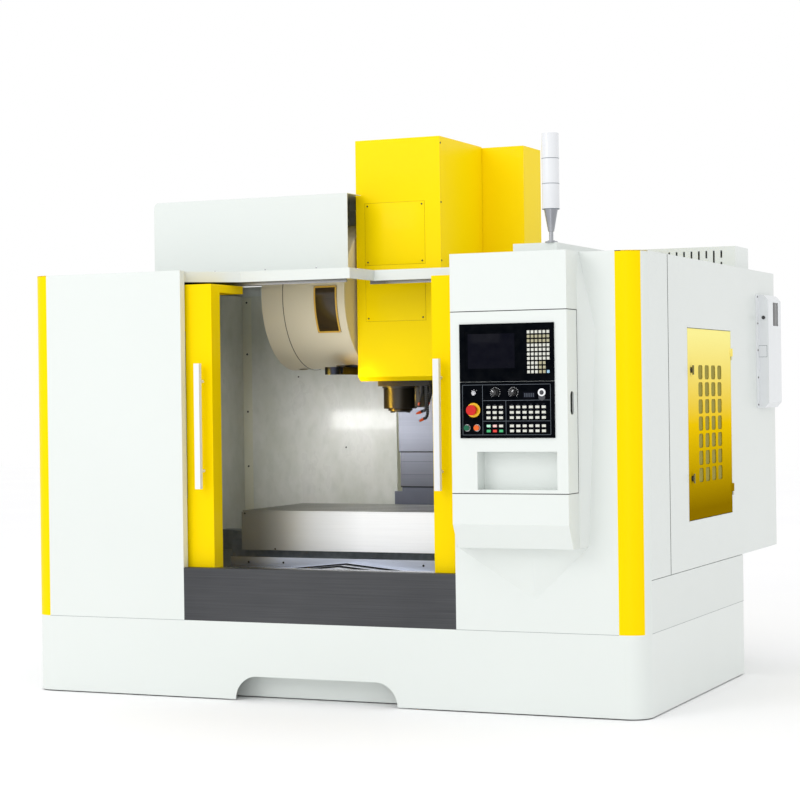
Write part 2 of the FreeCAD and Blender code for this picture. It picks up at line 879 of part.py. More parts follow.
def saddle_way_cover():
    """The segment fixed to the saddle, with the flat plate across its front end."""
    y0 = y_cover_start(3)
    plate = box(-saddle_plate_half, saddle_plate_half, y0, y0 + sheet, saddle_plate_bottom,
                saddle_plate_top)
    plate = cut(plate, prism_y(gable(3, cover_step - seat_gap, y_cover_skirt_bottom - 1),
                               y0 - 1, y0 + sheet + 1))
    return fuse(y_cover(3, y0, True), plate)


def y_cover_start(k):
    return y_cover_nested_y + y_travel_front * k / 3


def z_cover(k, z0, z1, wiper):
    half = z_cover_half - k * cover_step
    front = z_cover_front + k * cover_step
    seg = box(-half, half, front, z_cover_back, z0, z1)
    inner = box(-half + sheet, half - sheet, front + sheet, z_cover_back + 1, z0 - 1, z1 + 1)
    seg = cut(seg, inner)
    if wiper:
        g = cover_step - seat_gap
        lip = cut(box(-half, half, front, z_cover_back, z0, z0 + wiper_width),
                  box(-half + g, half - g, front + g, z_cover_back + 1, z0 - 1,
                      z0 + wiper_width + 1))
        seg = fuse(seg, lip)
    return seg


def fixed_way_covers():
    y_fixed = y_cover(0, y_cover_nested_y, False)
    for s in (-1, 1):
        x0, x1 = sorted((s * (y_cover_half - sheet), s * y_cover_half))
        leg = box(x0, x1, bed_front + 20, y_cover_nested_y + y_cover_length, bed_top,
                  y_cover_skirt_bottom)
        y_fixed = fuse(y_fixed, leg)
    z_fixed = z_cover(2, z_cover_fixed_bottom, z_cover_fixed_top, False)
    half = z_cover_half - 2 * cover_step
    for s in (-1, 1):
        x0, x1 = sorted((s * (half - sheet), s * (slide_half_width + slide_gap + 15)))
        ear = box(x0, x1, z_cover_back, back_wall_y, z_cover_fixed_bottom,
                  z_cover_fixed_top - 200)
        z_fixed = fuse(z_fixed, ear)
    return [y_fixed, z_fixed]


# ---- saddle and table ----
def saddle():
    y0, y1 = table_y - saddle_half_depth, table_y + saddle_half_depth
    body = box(-saddle_half_width, saddle_half_width, y0, y1, saddle_bottom, saddle_top)
    groove = box(-saddle_half_width - 1, saddle_half_width + 1, table_y - 75, table_y + 75,
                 x_screw_z - 60, saddle_top + 1)
    pockets = [box(x0, x1, y0 + 40, y1 - 40, saddle_bottom - 1, x_screw_z - 90)
               for x0, x1 in ((-780, -480), (480, 780), (-320, -80), (80, 320))]
    body = cut(body, groove, *pockets)
    rail_top = bed_top + rail_pad_height + rail_height
    for s in (-1, 1):
        for yc in (y0 + 90, y1 - 90):
            x = s * y_rail_x
            block = box(x - 50, x + 50, yc - 70, yc + 70, bed_top + rail_pad_height + 6,
                        saddle_bottom)
            way = box(x - rail_width / 2 - seat_gap, x + rail_width / 2 + seat_gap, y0, y1,
                      bed_top, rail_top + seat_gap)
            body = fuse(body, cut(block, way))
    nut = box(-50, 50, table_y - 60, table_y + 60, y_screw_z - 45, saddle_bottom)
    nut = cut(nut, rod_y(0, table_y - 70, table_y + 70, y_screw_z, screw_r + fit_gap))
    body = fuse(body, nut)
    for yc in (table_y - x_rail_offset, table_y + x_rail_offset):
        body = fuse(body, box(-saddle_half_width, saddle_half_width, yc - rail_width / 2,
                              yc + rail_width / 2, saddle_top, saddle_top + rail_height))
    for s in (-1, 1):
        x0, x1 = sorted((s * (saddle_half_width - 50), s * saddle_half_width))
        block = box(x0, x1, table_y - 74, table_y + 74, x_screw_z - 60, saddle_top + rail_height)
        body = fuse(body, cut(block, rod_x(x0 - 1, x1 + 1, table_y, x_screw_z,
                                           screw_r + fit_gap)))
    motor = box(-saddle_half_width - 190, -saddle_half_width, table_y - 55, table_y + 55,
                x_screw_z - 55, x_screw_z + 50)
    return [body, motor]


def table():
    x = table_length / 2
    y0, y1 = table_y - table_depth / 2, table_y + table_depth / 2
    under = table_top - table_thickness
    plate = box(-x, x, y0, y1, under, table_top)
    cuts = []
    for i in range(slot_count):
        yc = table_y + (i - (slot_count - 1) / 2) * slot_pitch
        cuts.append(box(-x - 1, x + 1, yc - slot_width / 2, yc + slot_width / 2,
                        table_top - slot_neck - slot_foot_height, table_top + 1))
        cuts.append(box(-x - 1, x + 1, yc - slot_foot_width / 2, yc + slot_foot_width / 2,
                        table_top - slot_neck - slot_foot_height, table_top - slot_neck))
    for x0, x1 in ((-660, -300), (-180, 180), (300, 660)):
        cuts.append(box(x0, x1, y0 + 40, table_y - x_rail_offset - 60, under - 1, under + 45))
        cuts.append(box(x0, x1, table_y + x_rail_offset + 60, y1 - 40, under - 1, under + 45))
    plate = cut(plate, *cuts)
    rail_top = saddle_top + rail_height
    for yc in (table_y - x_rail_offset, table_y + x_rail_offset):
        for xc in (-130, 130):
            block = box(xc - 65, xc + 65, yc - 50, yc + 50, saddle_top + 6, under)
            way = box(xc - 70, xc + 70, yc - rail_width / 2 - seat_gap,
                      yc + rail_width / 2 + seat_gap, saddle_top, rail_top + seat_gap)
            plate = fuse(plate, cut(block, way))
    nut = box(-60, 60, table_y - 48, table_y + 48, x_screw_z - 45, under)
    nut = cut(nut, rod_x(-61, 61, table_y, x_screw_z, screw_r + fit_gap))
    plate = fuse(plate, nut)
    front = box(-x - apron_sheet, x + apron_sheet, y0 - apron_sheet, y0, apron_bottom,
                table_top - 7)
    ends = []
    for s in (-1, 1):
        x0, x1 = sorted((s * x, s * (x + apron_sheet)))
        ends.append(box(x0, x1, y0, y1, under, table_top - 36))
    return [plate, fuse(front, *ends)]


# ---- spindle head ----
def spindle_head():
    body = box(-head_half_width, head_half_width, head_front, slide_front, head_bottom, head_top)
    slope = [(1200, head_bottom - 1), (slide_front + 1, head_bottom - 1),
             (slide_front + 1, 1900)]
    slope = prism_x(slope, -head_half_width - 1, head_half_width + 1)
    body = cut(body, slope)
    slide = box(-slide_half_width, slide_half_width, slide_front, slide_back, slide_bottom,
                head_top)
    body = fuse(body, slide)
    plate = box(nose_plate_left, nose_plate_right, head_front + nose_plate_setback,
                spindle_y + nose_plate_reach, nose_plate_bottom, head_bottom)
    nose = rod_z(0, spindle_y, nose_bottom, nose_plate_bottom, nose_r)
    body = fuse(body, plate, nose)
    body = cut(body, rod_z(0, spindle_y, nose_bottom - 1, spindle_top + 1,
                           spindle_r + fit_gap))
    for s in (-1, 1):
        for z in (1640, 2050):
            x = s * z_rail_x
            block = box(x - 40, x + 40, slide_back, column_front - 8, z, z + 140)
            way = box(x - rail_width / 2 - seat_gap, x + rail_width / 2 + seat_gap,
                      column_front - z_rail_height - seat_gap, column_front, z - 1, z + 141)
            body = fuse(body, cut(block, way))
    nut = box(-45, 45, slide_back, z_screw_y + 40, 1850, 1950)
    nut = cut(nut, rod_z(0, z_screw_y, 1849, 1951, screw_r + fit_gap))
    body = fuse(body, nut)
    motor = box(-motor_half, motor_half, spindle_y - motor_half, spindle_y + motor_half,
                head_top, motor_top)
    return [body, motor]


def head_cover():
    f, b = head_cover_front, head_cover_back
    z0, lip, z1 = head_cover_bottom, head_cover_bottom - head_cover_lip, head_cover_top
    outer = [(f, z1), (f, z0), (f + 30, lip), (b, lip), (b, z1)]
    t = sheet
    inner = [(f + t, z1 - t), (f + t, z0 + 1), (f + 31, lip + t), (b + 1, lip + t),
             (b + 1, z1 - t)]
    shell = cut(prism_x(outer, head_cover_left, head_cover_right),
                prism_x(inner, head_cover_left + t, head_cover_right - t))
    way = box(nose_plate_left - 1, nose_plate_right + 1, head_front + nose_plate_setback - 1,
              spindle_y + nose_plate_reach + 1, lip - 1, lip + t + 1)
    rear = box(-head_half_width - 1, head_half_width + 1, 1200, b + 1, lip - 1, lip + t + 1)
    rear_wall = box(head_cover_left, head_cover_right, b - t, b, head_top + 5, z1)
    return fuse(cut(shell, way, rear), rear_wall)


def spindle():
    body = rod_z(0, spindle_y, spindle_bottom, spindle_top, spindle_r)
    collar = rod_z(0, spindle_y, spindle_bottom, nose_bottom - seat_gap, spindle_r + 10)
    mouth = Part.makeCone(taper_mouth_r, taper_small_r, taper_depth,
                          V(0, spindle_y, spindle_bottom), V(0, 0, 1))
    bore = rod_z(0, spindle_y, spindle_bottom, spindle_top - 100, taper_small_r)
    keyway = box(-66, 66, spindle_y - 8, spindle_y + 8, spindle_bottom - 1, spindle_bottom + 8)
    return cut(fuse(body, collar), mouth, bore, keyway)


def coolant_nozzles():
    nozzles = []
    for dx, dy, lean in nozzle_places:
        base = rod_z(dx, spindle_y + dy, nose_plate_bottom - nozzle_base_height,
                     nose_plate_bottom, nozzle_base_r)
        tip = Part.makeCone(nozzle_root_r, nozzle_tip_r, nozzle_length,
                            V(dx, spindle_y + dy, nose_plate_bottom - nozzle_base_height),
                            V(-lean, 0, -1))
        nozzles.append(fuse(base, tip))
    return nozzles


# ---- tool magazine ----
def magazine_bracket():
    x0, x1 = -column_upper_half - bracket_thickness, -column_upper_half
    outline = [(drum_y - 70, drum_z - 70), (drum_y + 70, drum_z - 70),
               (drum_y + 200, guard_height - 45), (2000, guard_height - 45),
               (2000, guard_height + 105), (drum_y + 100, guard_height + 105),
               (drum_y - 70, drum_z + 82)]
    plate = prism_x(outline, x0, x1)
    shaft = rod_x(disc_x - disc_thickness - 30, x0, drum_y, drum_z, shaft_r)
    cap = rod_x(disc_x - disc_thickness - 30, disc_x - disc_thickness - 15 - seat_gap,
                drum_y, drum_z, shaft_r + 20)
    cam_box = box(x1, cam_box_right, arm_y - cam_box_front, drum_y + cam_box_reach,
                  cam_box_bottom, drum_z + 22)
    cam_box = cut(cam_box, rod_z(arm_x, arm_y, cam_box_bottom - 1, cam_box_bottom + 180,
                                 arm_shaft_r + fit_gap))
    return [fuse(plate, shaft, cap), cam_box]


def tool_disc():
    x1 = disc_x
    x0 = disc_x - disc_thickness
    disc = rod_x(x0, x1, drum_y, drum_z, disc_r)
    hub = rod_x(x0 - 15, -column_upper_half - bracket_thickness - seat_gap, drum_y, drum_z, 60)
    disc = cut(fuse(disc, hub), rod_x(x0 - 16, 0, drum_y, drum_z, shaft_r + fit_gap))
    pots = []
    for i in range(pot_count):
        a = 2 * math.pi * i / pot_count
        y = drum_y + pot_circle_r * math.cos(a)
        z = drum_z + pot_circle_r * math.sin(a)
        pot = rod_x(x0 - pot_length, x0, y, z, pot_r)
        mouth = Part.makeCone(taper_mouth_r, taper_small_r, taper_depth, V(x0 - pot_length, y, z),
                              V(1, 0, 0))
        pots.append(cut(pot, mouth))
    return [disc] + pots


def magazine_drum_cover():
    x0, x1 = drum_left, drum_right
    t = sheet
    shell = rod_x(x0, x1, drum_y, drum_z, drum_r)
    shell = cut(shell, rod_x(x0 + t, x1 - t, drum_y, drum_z, drum_r - t))
    back = box(x0 - 1, x1 + 1, drum_back_cut, drum_y + drum_r + 1, 0, 3000)
    arm_way = box(arm_x - arm_way_half, x1 + 1, arm_y - arm_way_reach, drum_y + drum_r, 0,
                  cam_box_bottom - 5)
    pot_way = box(pot_way_left, pot_way_right, drum_y - pot_way_half, drum_y + pot_way_half, 0,
                  drum_z - drum_r / 2)
    bracket_way = box(*bracket_span(), drum_y + 150, 1800,
                      drum_z - 10, guard_height + 120)
    cover = cut(shell, back, arm_way, pot_way, bracket_way)
    bosses = []
    for z in (drum_z - 20, drum_z + 20):
        bosses.append(rod_x(-195, x1 - t, drum_y + 40, z, 12))
    return fuse(cover, *bosses)


def drum_window():
    """A curved strip of dark sheet on the front of the drum."""
    x0, x1 = drum_window_left, drum_window_right
    outer = rod_x(x0, x1, drum_y, drum_z, drum_r + drum_window_thickness)
    ring = cut(outer, rod_x(x0 - 1, x1 + 1, drum_y, drum_z, drum_r + seat_gap))
    a0 = math.radians(180 - drum_window_above)
    a1 = math.radians(180 + drum_window_below)
    far = 2 * drum_r
    sector = [(drum_y, drum_z),
              (drum_y + far * math.cos(a0), drum_z + far * math.sin(a0)),
              (drum_y - far, drum_z),
              (drum_y + far * math.cos(a1), drum_z + far * math.sin(a1))]
    return ring.common(prism_x(sector, x0 - 1, x1 + 1))


def magazine_top_cover():
    x0, x1 = mag_cover_left, mag_cover_right
    y0, y1 = mag_cover_front, mag_cover_back
    outer = box(x0, x1, y0, y1, guard_height, mag_cover_top)
    edge = [e for e in outer.Edges if is_along_y(e) and e.CenterOfMass.x < x0 + 1
            and e.CenterOfMass.z > mag_cover_top - 1]
    outer = outer.makeFillet(mag_cover_radius, edge)
    t = sheet
    inner = box(x0 + t, x1 + 1, y0 + t, y1 - t, guard_height - 1, mag_cover_top - t)
    edge = [e for e in inner.Edges if is_along_y(e) and e.CenterOfMass.x < x0 + 2 * t
            and e.CenterOfMass.z > mag_cover_top - 2 * t]
    inner = inner.makeFillet(mag_cover_radius - t, edge)
    bracket_way = box(*bracket_span(), y1 - 10, y1 + 10,
                      guard_height - 60, guard_height + 120)
    foot = cut(box(x0, x1, y0, y1, guard_height - 20, guard_height + 2),
               box(x0 + t, x1 + 1, y0 + t, y1 - t, guard_height - 21, guard_height + 3))
    foot = cut(foot, box(x0 - 1, x1 + 1, y0 - 1, y1 + 1, guard_height - 21, guard_height))
    lip_back = head_cover_front - roof_way_gap
    lip = cut(box(x1, x1 + mag_cover_lip, y0, lip_back, guard_height, mag_cover_top),
              box(x1 - 1, x1 + mag_cover_lip + 1, y0 + t, lip_back + 1, guard_height - 1,
                  mag_cover_top - t))
    return cut(fuse(cut(outer, inner), foot, lip), bracket_way)


def is_along_y(edge):
    a, b = edge.Vertexes[0].Point, edge.Vertexes[-1].Point
    return abs(a.x - b.x) < 1e-6 and abs(a.z - b.z) < 1e-6


def change_arm():
    z0, z1 = arm_z, arm_z + arm_thickness
    bar = box(arm_x - 32, arm_x + 32, arm_y - arm_half_length, arm_y + arm_half_length, z0, z1)
    hub = rod_z(arm_x, arm_y, z0, z1 + 20, 62)
    arm = fuse(bar, hub)
    for s in (-1, 1):
        yc = arm_y + s * arm_half_length
        claw = cut(rod_z(arm_x, yc, z0, z1, 48), rod_z(arm_x, yc, z0 - 1, z1 + 1, 32))
        gap = box(arm_x + 8, arm_x + 60, yc - 24, yc + 24, z0 - 1, z1 + 1)
        arm = fuse(cut(arm, rod_z(arm_x, yc, z0 - 1, z1 + 1, 32)), cut(claw, gap))
    shaft = rod_z(arm_x, arm_y, z1 + 10, cam_box_bottom + 150, arm_shaft_r)
    return fuse(arm, shaft)


# ---- column top ----
def column_top_cover():
    x0, x1, f, b, z1 = top_cover_left, top_cover_right, top_cover_front, top_cover_back, top_cover_top
    t = sheet
    outer = box(x0, x1, f, b, guard_height, z1)
    inner = box(x0 + t, x1 - t, f + t, b + 1, guard_height - 1, z1 - t)
    front = cut(outer, inner)
    left_low = box(x0 - 1, head_cover_left + 5, f - 1, b + 1, guard_height - 1, mag_cover_top)
    arm_way = box(-head_half_width - 10, head_half_width + 10, f - 1, f + t + 1,
                  guard_height - 1, column_top)
    front = cut(front, left_low, arm_way)
    hood = box(-hood_half, hood_half, b, column_upper_back, column_top, z1)
    hood = cut(hood, box(-hood_half + t, hood_half - t, b - 1, column_upper_back - t,
                         column_top - 1, z1 - t))
    wing = cut(box(x0, x1, b - t, b, column_top, z1),
               box(-hood_half + t, hood_half - t, b - t - 1, b + 1, column_top - 1, z1 - t))
    return fuse(front, hood, wing)


# ---- doors ----
def sliding_door(x0, x1, hood_back):
    f = door_front_y
    t = sheet
    b = f + door_depth
    low, top, hood = door_bottom, door_top, door_top - door_hood_height
    outer = fuse(box(x0, x1, f, b, low, top), box(x0, x1, f, hood_back, hood, top))
    inner = fuse(box(x0 + t, x1 - t, f + t, b + 1, low + t, top - t),
                 box(x0 + t, x1 - t, f + t, hood_back - t, hood - 1, top - t))
    door = cut(outer, inner)
    window = box(x0 + door_stile, x1 - door_stile, f - 1, f + t + 1, window_bottom, window_top)
    ring = cut(box(x0 + door_stile - 30, x1 - door_stile + 30, f + t + window_thickness,
                   f + t + window_thickness + 3, window_bottom - 30, window_top + 30),
               box(x0 + door_stile, x1 - door_stile, f, b, window_bottom, window_top))
    bars = [box(x0 + door_stile - 30, x0 + door_stile - 24, f + t, f + t + window_thickness,
                window_bottom - 30, window_top + 30),
            box(x1 - door_stile + 24, x1 - door_stile + 30, f + t, f + t + window_thickness,
                window_bottom - 30, window_top + 30)]
    return fuse(cut(door, window), ring, *bars)


def door_window(x0, x1):
    f = door_front_y + sheet
    return box(x0 + door_stile - window_lap, x1 - door_stile + window_lap, f,
               f + window_thickness, window_bottom - window_lap, window_top + window_lap)


def door_handle(x):
    z0, z1 = handle_bottom, handle_bottom + handle_length
    y1 = handle_front_y + handle_thickness
    bar = box(x - handle_width / 2, x + handle_width / 2, handle_front_y, y1, z0, z1)
    posts = []
    for z in (z0 + handle_standoff_inset, z1 - handle_standoff_inset):
        posts.append(rod_y(x, y1, door_front_y, z, handle_standoff_r))
    return fuse(bar, *posts)


# ---- console ----
def fairing_loft(inset, base_y, top_y):
    left, right = console_left + inset, console_right - inset
    mid = 1119.5
    base = [(opening_right + 3 + inset, right_top - inset), (console_right - 5 - inset,
            right_top - inset), (1428.5 - inset, 1800), (1387.5 - inset, 798 + inset),
            (mid, 543 + inset * 1.6), (opening_right + 3 + inset, 790 + inset)]
    top = [(left, right_top - inset), (right, right_top - inset), (right, 1800),
           (right, console_bottom + inset), (mid, console_bottom + inset),
           (left, console_bottom + inset)]
    wires = []
    for ring, y in ((base, base_y), (top, top_y)):
        points = [V(x, y, z) for x, z in ring]
        wires.append(Part.makePolygon(points + [points[0]]))
    return Part.makeLoft(wires, True, True)


def console_fairing():
    outer = fairing_loft(0, 0, -fairing_depth)
    inner = fairing_loft(sheet, 1, -fairing_depth + sheet)
    return cut(outer, inner)


def console_shell():
    x0, x1, f = console_left, console_right, console_front
    b = -fairing_depth
    head = pan(x0, x1, f, b, console_door_top, right_top, "+y")
    foot_outer = [(f, console_door_bottom), (f, console_crease),
                  (f + console_slant, console_bottom), (b, console_bottom),
                  (b, console_door_bottom)]
    t = sheet
    foot_inner = [(f + t, console_door_bottom - t), (f + t, console_crease + 1),
                  (f + console_slant + t, console_bottom + t), (b + 1, console_bottom + t),
                  (b + 1, console_door_bottom - t)]
    foot = cut(prism_x(foot_outer, x0, x1), prism_x(foot_inner, x0 + t, x1 - t))
    hx, hy = console_hinge()
    upper_pin = rod_z(hx, hy, console_door_top - 26, console_door_top + 1, hinge_pin_r)
    lower_pin = rod_z(hx, hy, console_door_bottom - 1, console_door_bottom + 26, hinge_pin_r)
    return [fuse(head, upper_pin), fuse(foot, lower_pin)]


def console_hinge():
    return console_left + hinge_inset_x, console_door_back - hinge_inset_y


def console_door():
    x0, x1, f, b = console_left, console_right, console_front, console_door_back
    z0, z1 = console_door_bottom + console_gap, console_door_top - console_gap
    t = sheet
    door = pan(x0, x1, f, b, z0, z1, "+y")
    hx, hy = console_hinge()
    r = hinge_inset_x - 0.5
    for za, zb in ((z0, z0 + 40), (z1 - 40, z1)):
        block = box(x0, x0 + 2 * hinge_inset_x, hy - 12, b, za, zb)
        door = fuse(door, block)
    pocket = pan(niche_left - t, niche_right + t, f, f + niche_depth + t, niche_bottom - t,
                 niche_top + t, "-y")
    door = cut(door, box(niche_left, niche_right, f - 1, f + t + 1, niche_bottom, niche_top))
    door = fuse(door, pocket)
    holes = [rod_z(hx, hy, z0 - 1, z0 + 32, hinge_pin_r + fit_gap),
             rod_z(hx, hy, z1 - 32, z1 + 1, hinge_pin_r + fit_gap)]
    for x, z, stem in stems():
        holes.append(rod_y(x, f - 1, f + t + 1, z, stem + fit_gap))
    grip = box(x1 - t - 1, x1 + 1, grip_front, grip_back, grip_bottom, grip_top)
    grip = grip.makeFillet(grip_radius, [e for e in grip.Edges if is_along_x(e)])
    cup = pan(x1 - grip_depth, x1, grip_front - 2 * t, grip_back + 2 * t, grip_bottom - 2 * t,
              grip_top + 2 * t, "+x")
    return fuse(cut(door, grip, *holes), cut(cup, grip))


def stems():
    """Centre and stem radius of everything that passes through the operator panel."""
    return [(estop_x, estop_z, stem_r), (start_x, start_z, stem_r), (hold_x, start_z, stem_r),
            (feed_knob_x, knob_z, stem_r / 2), (spindle_knob_x, knob_z, stem_r / 2),
            (key_switch_x, key_switch_z, stem_r / 2)]


def operator_panel():
    f = console_front
    upper = box(panel_left, panel_right, f - panel_proud, f, panel_split + 1, panel_top)
    screen = box(screen_left, screen_right, f - panel_proud - 1, f - panel_proud + 2,
                 screen_bottom, screen_top)
    lower = box(panel_left, panel_right, f - panel_proud, f, panel_bottom, panel_split - 1)
    holes = [rod_y(x, f - panel_proud - 1, f + 1, z, stem + fit_gap) for x, z, stem in stems()]
    return [cut(upper, screen), cut(lower, *holes)]


def panel_keys():
    y0, y1 = console_front - panel_proud - key_height, console_front - panel_proud
    keys = []
    for i in range(letter_columns):
        for j in range(letter_rows):
            if i == letter_columns - 1 and j in letter_gaps:
                continue
            x, z = letter_x + i * letter_step_x, letter_z - j * letter_step_z
            keys.append(box(x - letter_half, x + letter_half, y0, y1, z - letter_half,
                            z + letter_half))
    for x0, z0, columns, rows, step_x, step_z in key_blocks:
        for i in range(columns):
            for j in range(rows):
                x, z = x0 + i * step_x, z0 - j * step_z
                keys.append(box(x - key_half_width, x + key_half_width, y0, y1,
                                z - key_half_height, z + key_half_height))
    return keys


def push_button(x, z, head_r, proud, stem_radius, travel):
    face = console_front - panel_proud
    head = rod_y(x, face - proud, face - travel - seat_gap, z, head_r)
    neck = rod_y(x, face - travel - 1, console_front + sheet + 12, z, stem_radius)
    return fuse(head, neck)


def estop():
    face = console_front - panel_proud
    head = rod_y(estop_x, face - estop_proud, face - estop_proud + 16, estop_z, estop_head_r)
    cone = Part.makeCone(estop_head_r - 4, stem_r + 6, 12,
                         V(estop_x, face - estop_proud + 16, estop_z), V(0, 1, 0))
    neck = rod_y(estop_x, face - estop_proud + 20, console_front + sheet + 12, estop_z, stem_r)
    return fuse(head, cone, neck)


def knob(x, z, r, proud):
    face = console_front - panel_proud
    skirt = rod_y(x, face - 6, face - seat_gap, z, r)
    body = rod_y(x, face - proud, face - 5, z, r * 0.72)
    grip = box(x - 3.5, x + 3.5, face - proud, face - 4, z - r, z + r)
    stem = rod_y(x, face - 1, console_front + sheet + 8, z, stem_r / 2)
    return fuse(skirt, body, grip, stem)


# ---- signal lamp ----
def signal_lamp():
    base_z = right_top + duct_height
    foot = fuse(rod_z(lamp_x, lamp_y, base_z, base_z + 10, 17),
                rod_z(lamp_x, lamp_y, base_z + 10, 2272, 10))
    cone = Part.makeCone(14, 33, lamp_bottom - 2270, V(lamp_x, lamp_y, 2270), V(0, 0, 1))
    lens = rod_z(lamp_x, lamp_y, lamp_bottom, lamp_top, lamp_r)
    return [fuse(foot, cone), lens]


def main():
    save("levelling_pads", *levelling_pads())
    save("machine_bed", machine_bed())
    save("column", column())
    save("linear_rails", *linear_rails())
    save("axis_servos", *axis_servos())
    x_screw, y_screw, z_screw = ball_screws()
    save("x_ball_screw", x_screw)
    save("y_ball_screw", y_screw)
    save("z_ball_screw", z_screw)
    save("base_skirt", base_skirt())
    save("left_front_panel", front_panel(-half_width + corner_radius, opening_left,
                                         guard_height))
    save("right_front_panel", right_front_panel())
    save("corner_posts", corner_post(-1, guard_height), corner_post(1, right_top))
    save("door_apron", door_apron())
    save("door_tracks", *door_tracks())
    save("roof_panels", *roof_panels())
    save("side_panels", *side_panels())
    save("right_side_panel", right_side_panel())
    save("vent_door", vent_door())
    save("electrical_cabinet", electrical_cabinet())
    save("cabinet_cooler", cabinet_cooler())
    save("resistor_box", resistor_box())
    save("inner_walls", *inner_walls())
    save("chip_pans", *chip_pans())
    save("way_covers_fixed", *fixed_way_covers())
    save("y_cover_front", y_cover(1, y_cover_start(1), True))
    save("y_cover_rear", y_cover(2, y_cover_start(2), True))
    save("saddle_way_cover", saddle_way_cover())
    save("z_cover_upper", z_cover(0, z_cover_upper_bottom, slide_bottom, True))
    save("z_cover_middle", z_cover(1, z_cover_middle_bottom, z_cover_middle_top, True))
    save("saddle", *saddle())
    save("table", *table())
    save("spindle_head", *spindle_head())
    save("head_cover", head_cover())
    save("spindle", spindle())
    save("coolant_nozzles", *coolant_nozzles())
    save("magazine_bracket", *magazine_bracket())
    save("tool_disc", *tool_disc())
    save("magazine_drum_cover", magazine_drum_cover())
    save("magazine_window", drum_window())
    save("magazine_top_cover", magazine_top_cover())
    save("change_arm", change_arm())
    save("column_top_cover", column_top_cover())
    left_edge = door_meeting_x - door_meeting_gap / 2 - door_travel
    right_edge = door_meeting_x + door_meeting_gap / 2 + door_travel
    left_width = door_meeting_x - opening_left + door_overlap
    right_width = opening_right - door_meeting_x + door_overlap
    save("left_door", sliding_door(left_edge - left_width, left_edge, left_hood_back))
    save("left_door_window", door_window(left_edge - left_width, left_edge))
    save("left_door_handle", door_handle(left_edge - handle_inset))
    save("right_door", sliding_door(right_edge, right_edge + right_width, right_hood_back))
    save("right_door_window", door_window(right_edge, right_edge + right_width))
    save("right_door_handle", door_handle(right_edge + handle_inset - 11))
    save("console_fairing", console_fairing())
    save("console_shell", *console_shell())
    save("console_door", console_door())
    save("operator_panel", *operator_panel())
    save("panel_keys", *panel_keys())
    save("emergency_stop", estop())
    save("cycle_start", push_button(start_x, start_z, start_r, button_proud, stem_r, 4))
    save("feed_hold", push_button(hold_x, start_z, start_r, button_proud, stem_r, 4))
    save("feed_knob", knob(feed_knob_x, knob_z, knob_r, knob_proud))
    save("spindle_knob", knob(spindle_knob_x, knob_z, knob_r, knob_proud))
    save("key_switch", knob(key_switch_x, key_switch_z, key_switch_r, 14))
    save("signal_lamp", *signal_lamp())


main()
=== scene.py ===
# %% [markdown]
# # The looks of a vertical machining centre
# The construction already exists as a frame of exact parts. This file gives every one of those
# parts its finish and adds the small pieces that make it read as a real machine: screws, seals,
# keys, hoses, lines and lenses. Everything is in metres, z is up, and the machine stands on the
# floor with its doors towards -y.

# %% Load the frame
import math

import bmesh
import bpy
from mathutils import Matrix, Vector


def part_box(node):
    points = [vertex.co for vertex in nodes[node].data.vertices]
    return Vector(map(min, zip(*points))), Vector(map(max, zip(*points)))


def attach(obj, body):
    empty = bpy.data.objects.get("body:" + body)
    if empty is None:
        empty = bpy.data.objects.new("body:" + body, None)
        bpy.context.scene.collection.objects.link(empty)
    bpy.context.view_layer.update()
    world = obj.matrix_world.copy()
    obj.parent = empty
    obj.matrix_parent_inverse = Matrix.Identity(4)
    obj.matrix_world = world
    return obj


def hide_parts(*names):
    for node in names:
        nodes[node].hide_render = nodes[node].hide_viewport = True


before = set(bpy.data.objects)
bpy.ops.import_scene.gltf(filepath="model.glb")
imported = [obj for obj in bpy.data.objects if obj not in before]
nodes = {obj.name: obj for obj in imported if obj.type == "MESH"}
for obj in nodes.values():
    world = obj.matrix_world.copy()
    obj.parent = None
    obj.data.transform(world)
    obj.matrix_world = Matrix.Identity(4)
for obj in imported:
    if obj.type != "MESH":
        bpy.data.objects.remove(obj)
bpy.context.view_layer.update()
X, Y, Z = Vector((1, 0, 0)), Vector((0, 1, 0)), Vector((0, 0, 1))

# %% [markdown]
# ## Camera
# The machine is seen from its front right, a little below half its height, through a long lens.
# A long lens far away keeps the verticals parallel, which suits a machine better than a close
# wide lens would. The camera is turned by three angles: round the machine, down, and a small
# roll of the head.

# %% Camera
camera_spot = Vector((4.5495, -10.506, 1.521))
camera_turn = math.radians(23.81)
camera_dip = math.radians(0.2)
camera_roll = math.radians(-0.75)
focal_length = 96.1
view_end = 200.0


def placed(name, data):
    """An object in the scene that holds this data."""
    made = bpy.data.objects.new(name, data)
    bpy.context.collection.objects.link(made)
    return made


def aim_camera():
    """Puts the camera at its spot, looking round, down and rolled by the three angles."""
    turn = Matrix.Rotation(camera_turn, 3, "Z")
    tilt = Matrix.Rotation(math.pi / 2 - camera_dip, 3, "X")
    roll = Matrix.Rotation(camera_roll, 3, "Z")
    data = bpy.data.cameras.new("camera")
    data.lens = focal_length
    data.clip_end = view_end
    camera = placed("camera", data)
    camera.matrix_world = Matrix.Translation(camera_spot) @ (turn @ tilt @ roll).to_4x4()
    bpy.context.scene.camera = camera


aim_camera()
print("camera", tuple(round(v, 2) for v in camera_spot))

# %% [markdown]
# ## Studio
# A white sweep of light from all round gives paint its clean look, and one large soft panel
# from the front left makes the front a little brighter than the right side. A work lamp inside
# the guard is a real part of such a machine: without it the cutting space would be a cave. Its
# spread is held in, so the head stays in shade. A weak lamp under the front edge of the roof
# lifts the head's lower front, and a small warm one picks out the spindle.

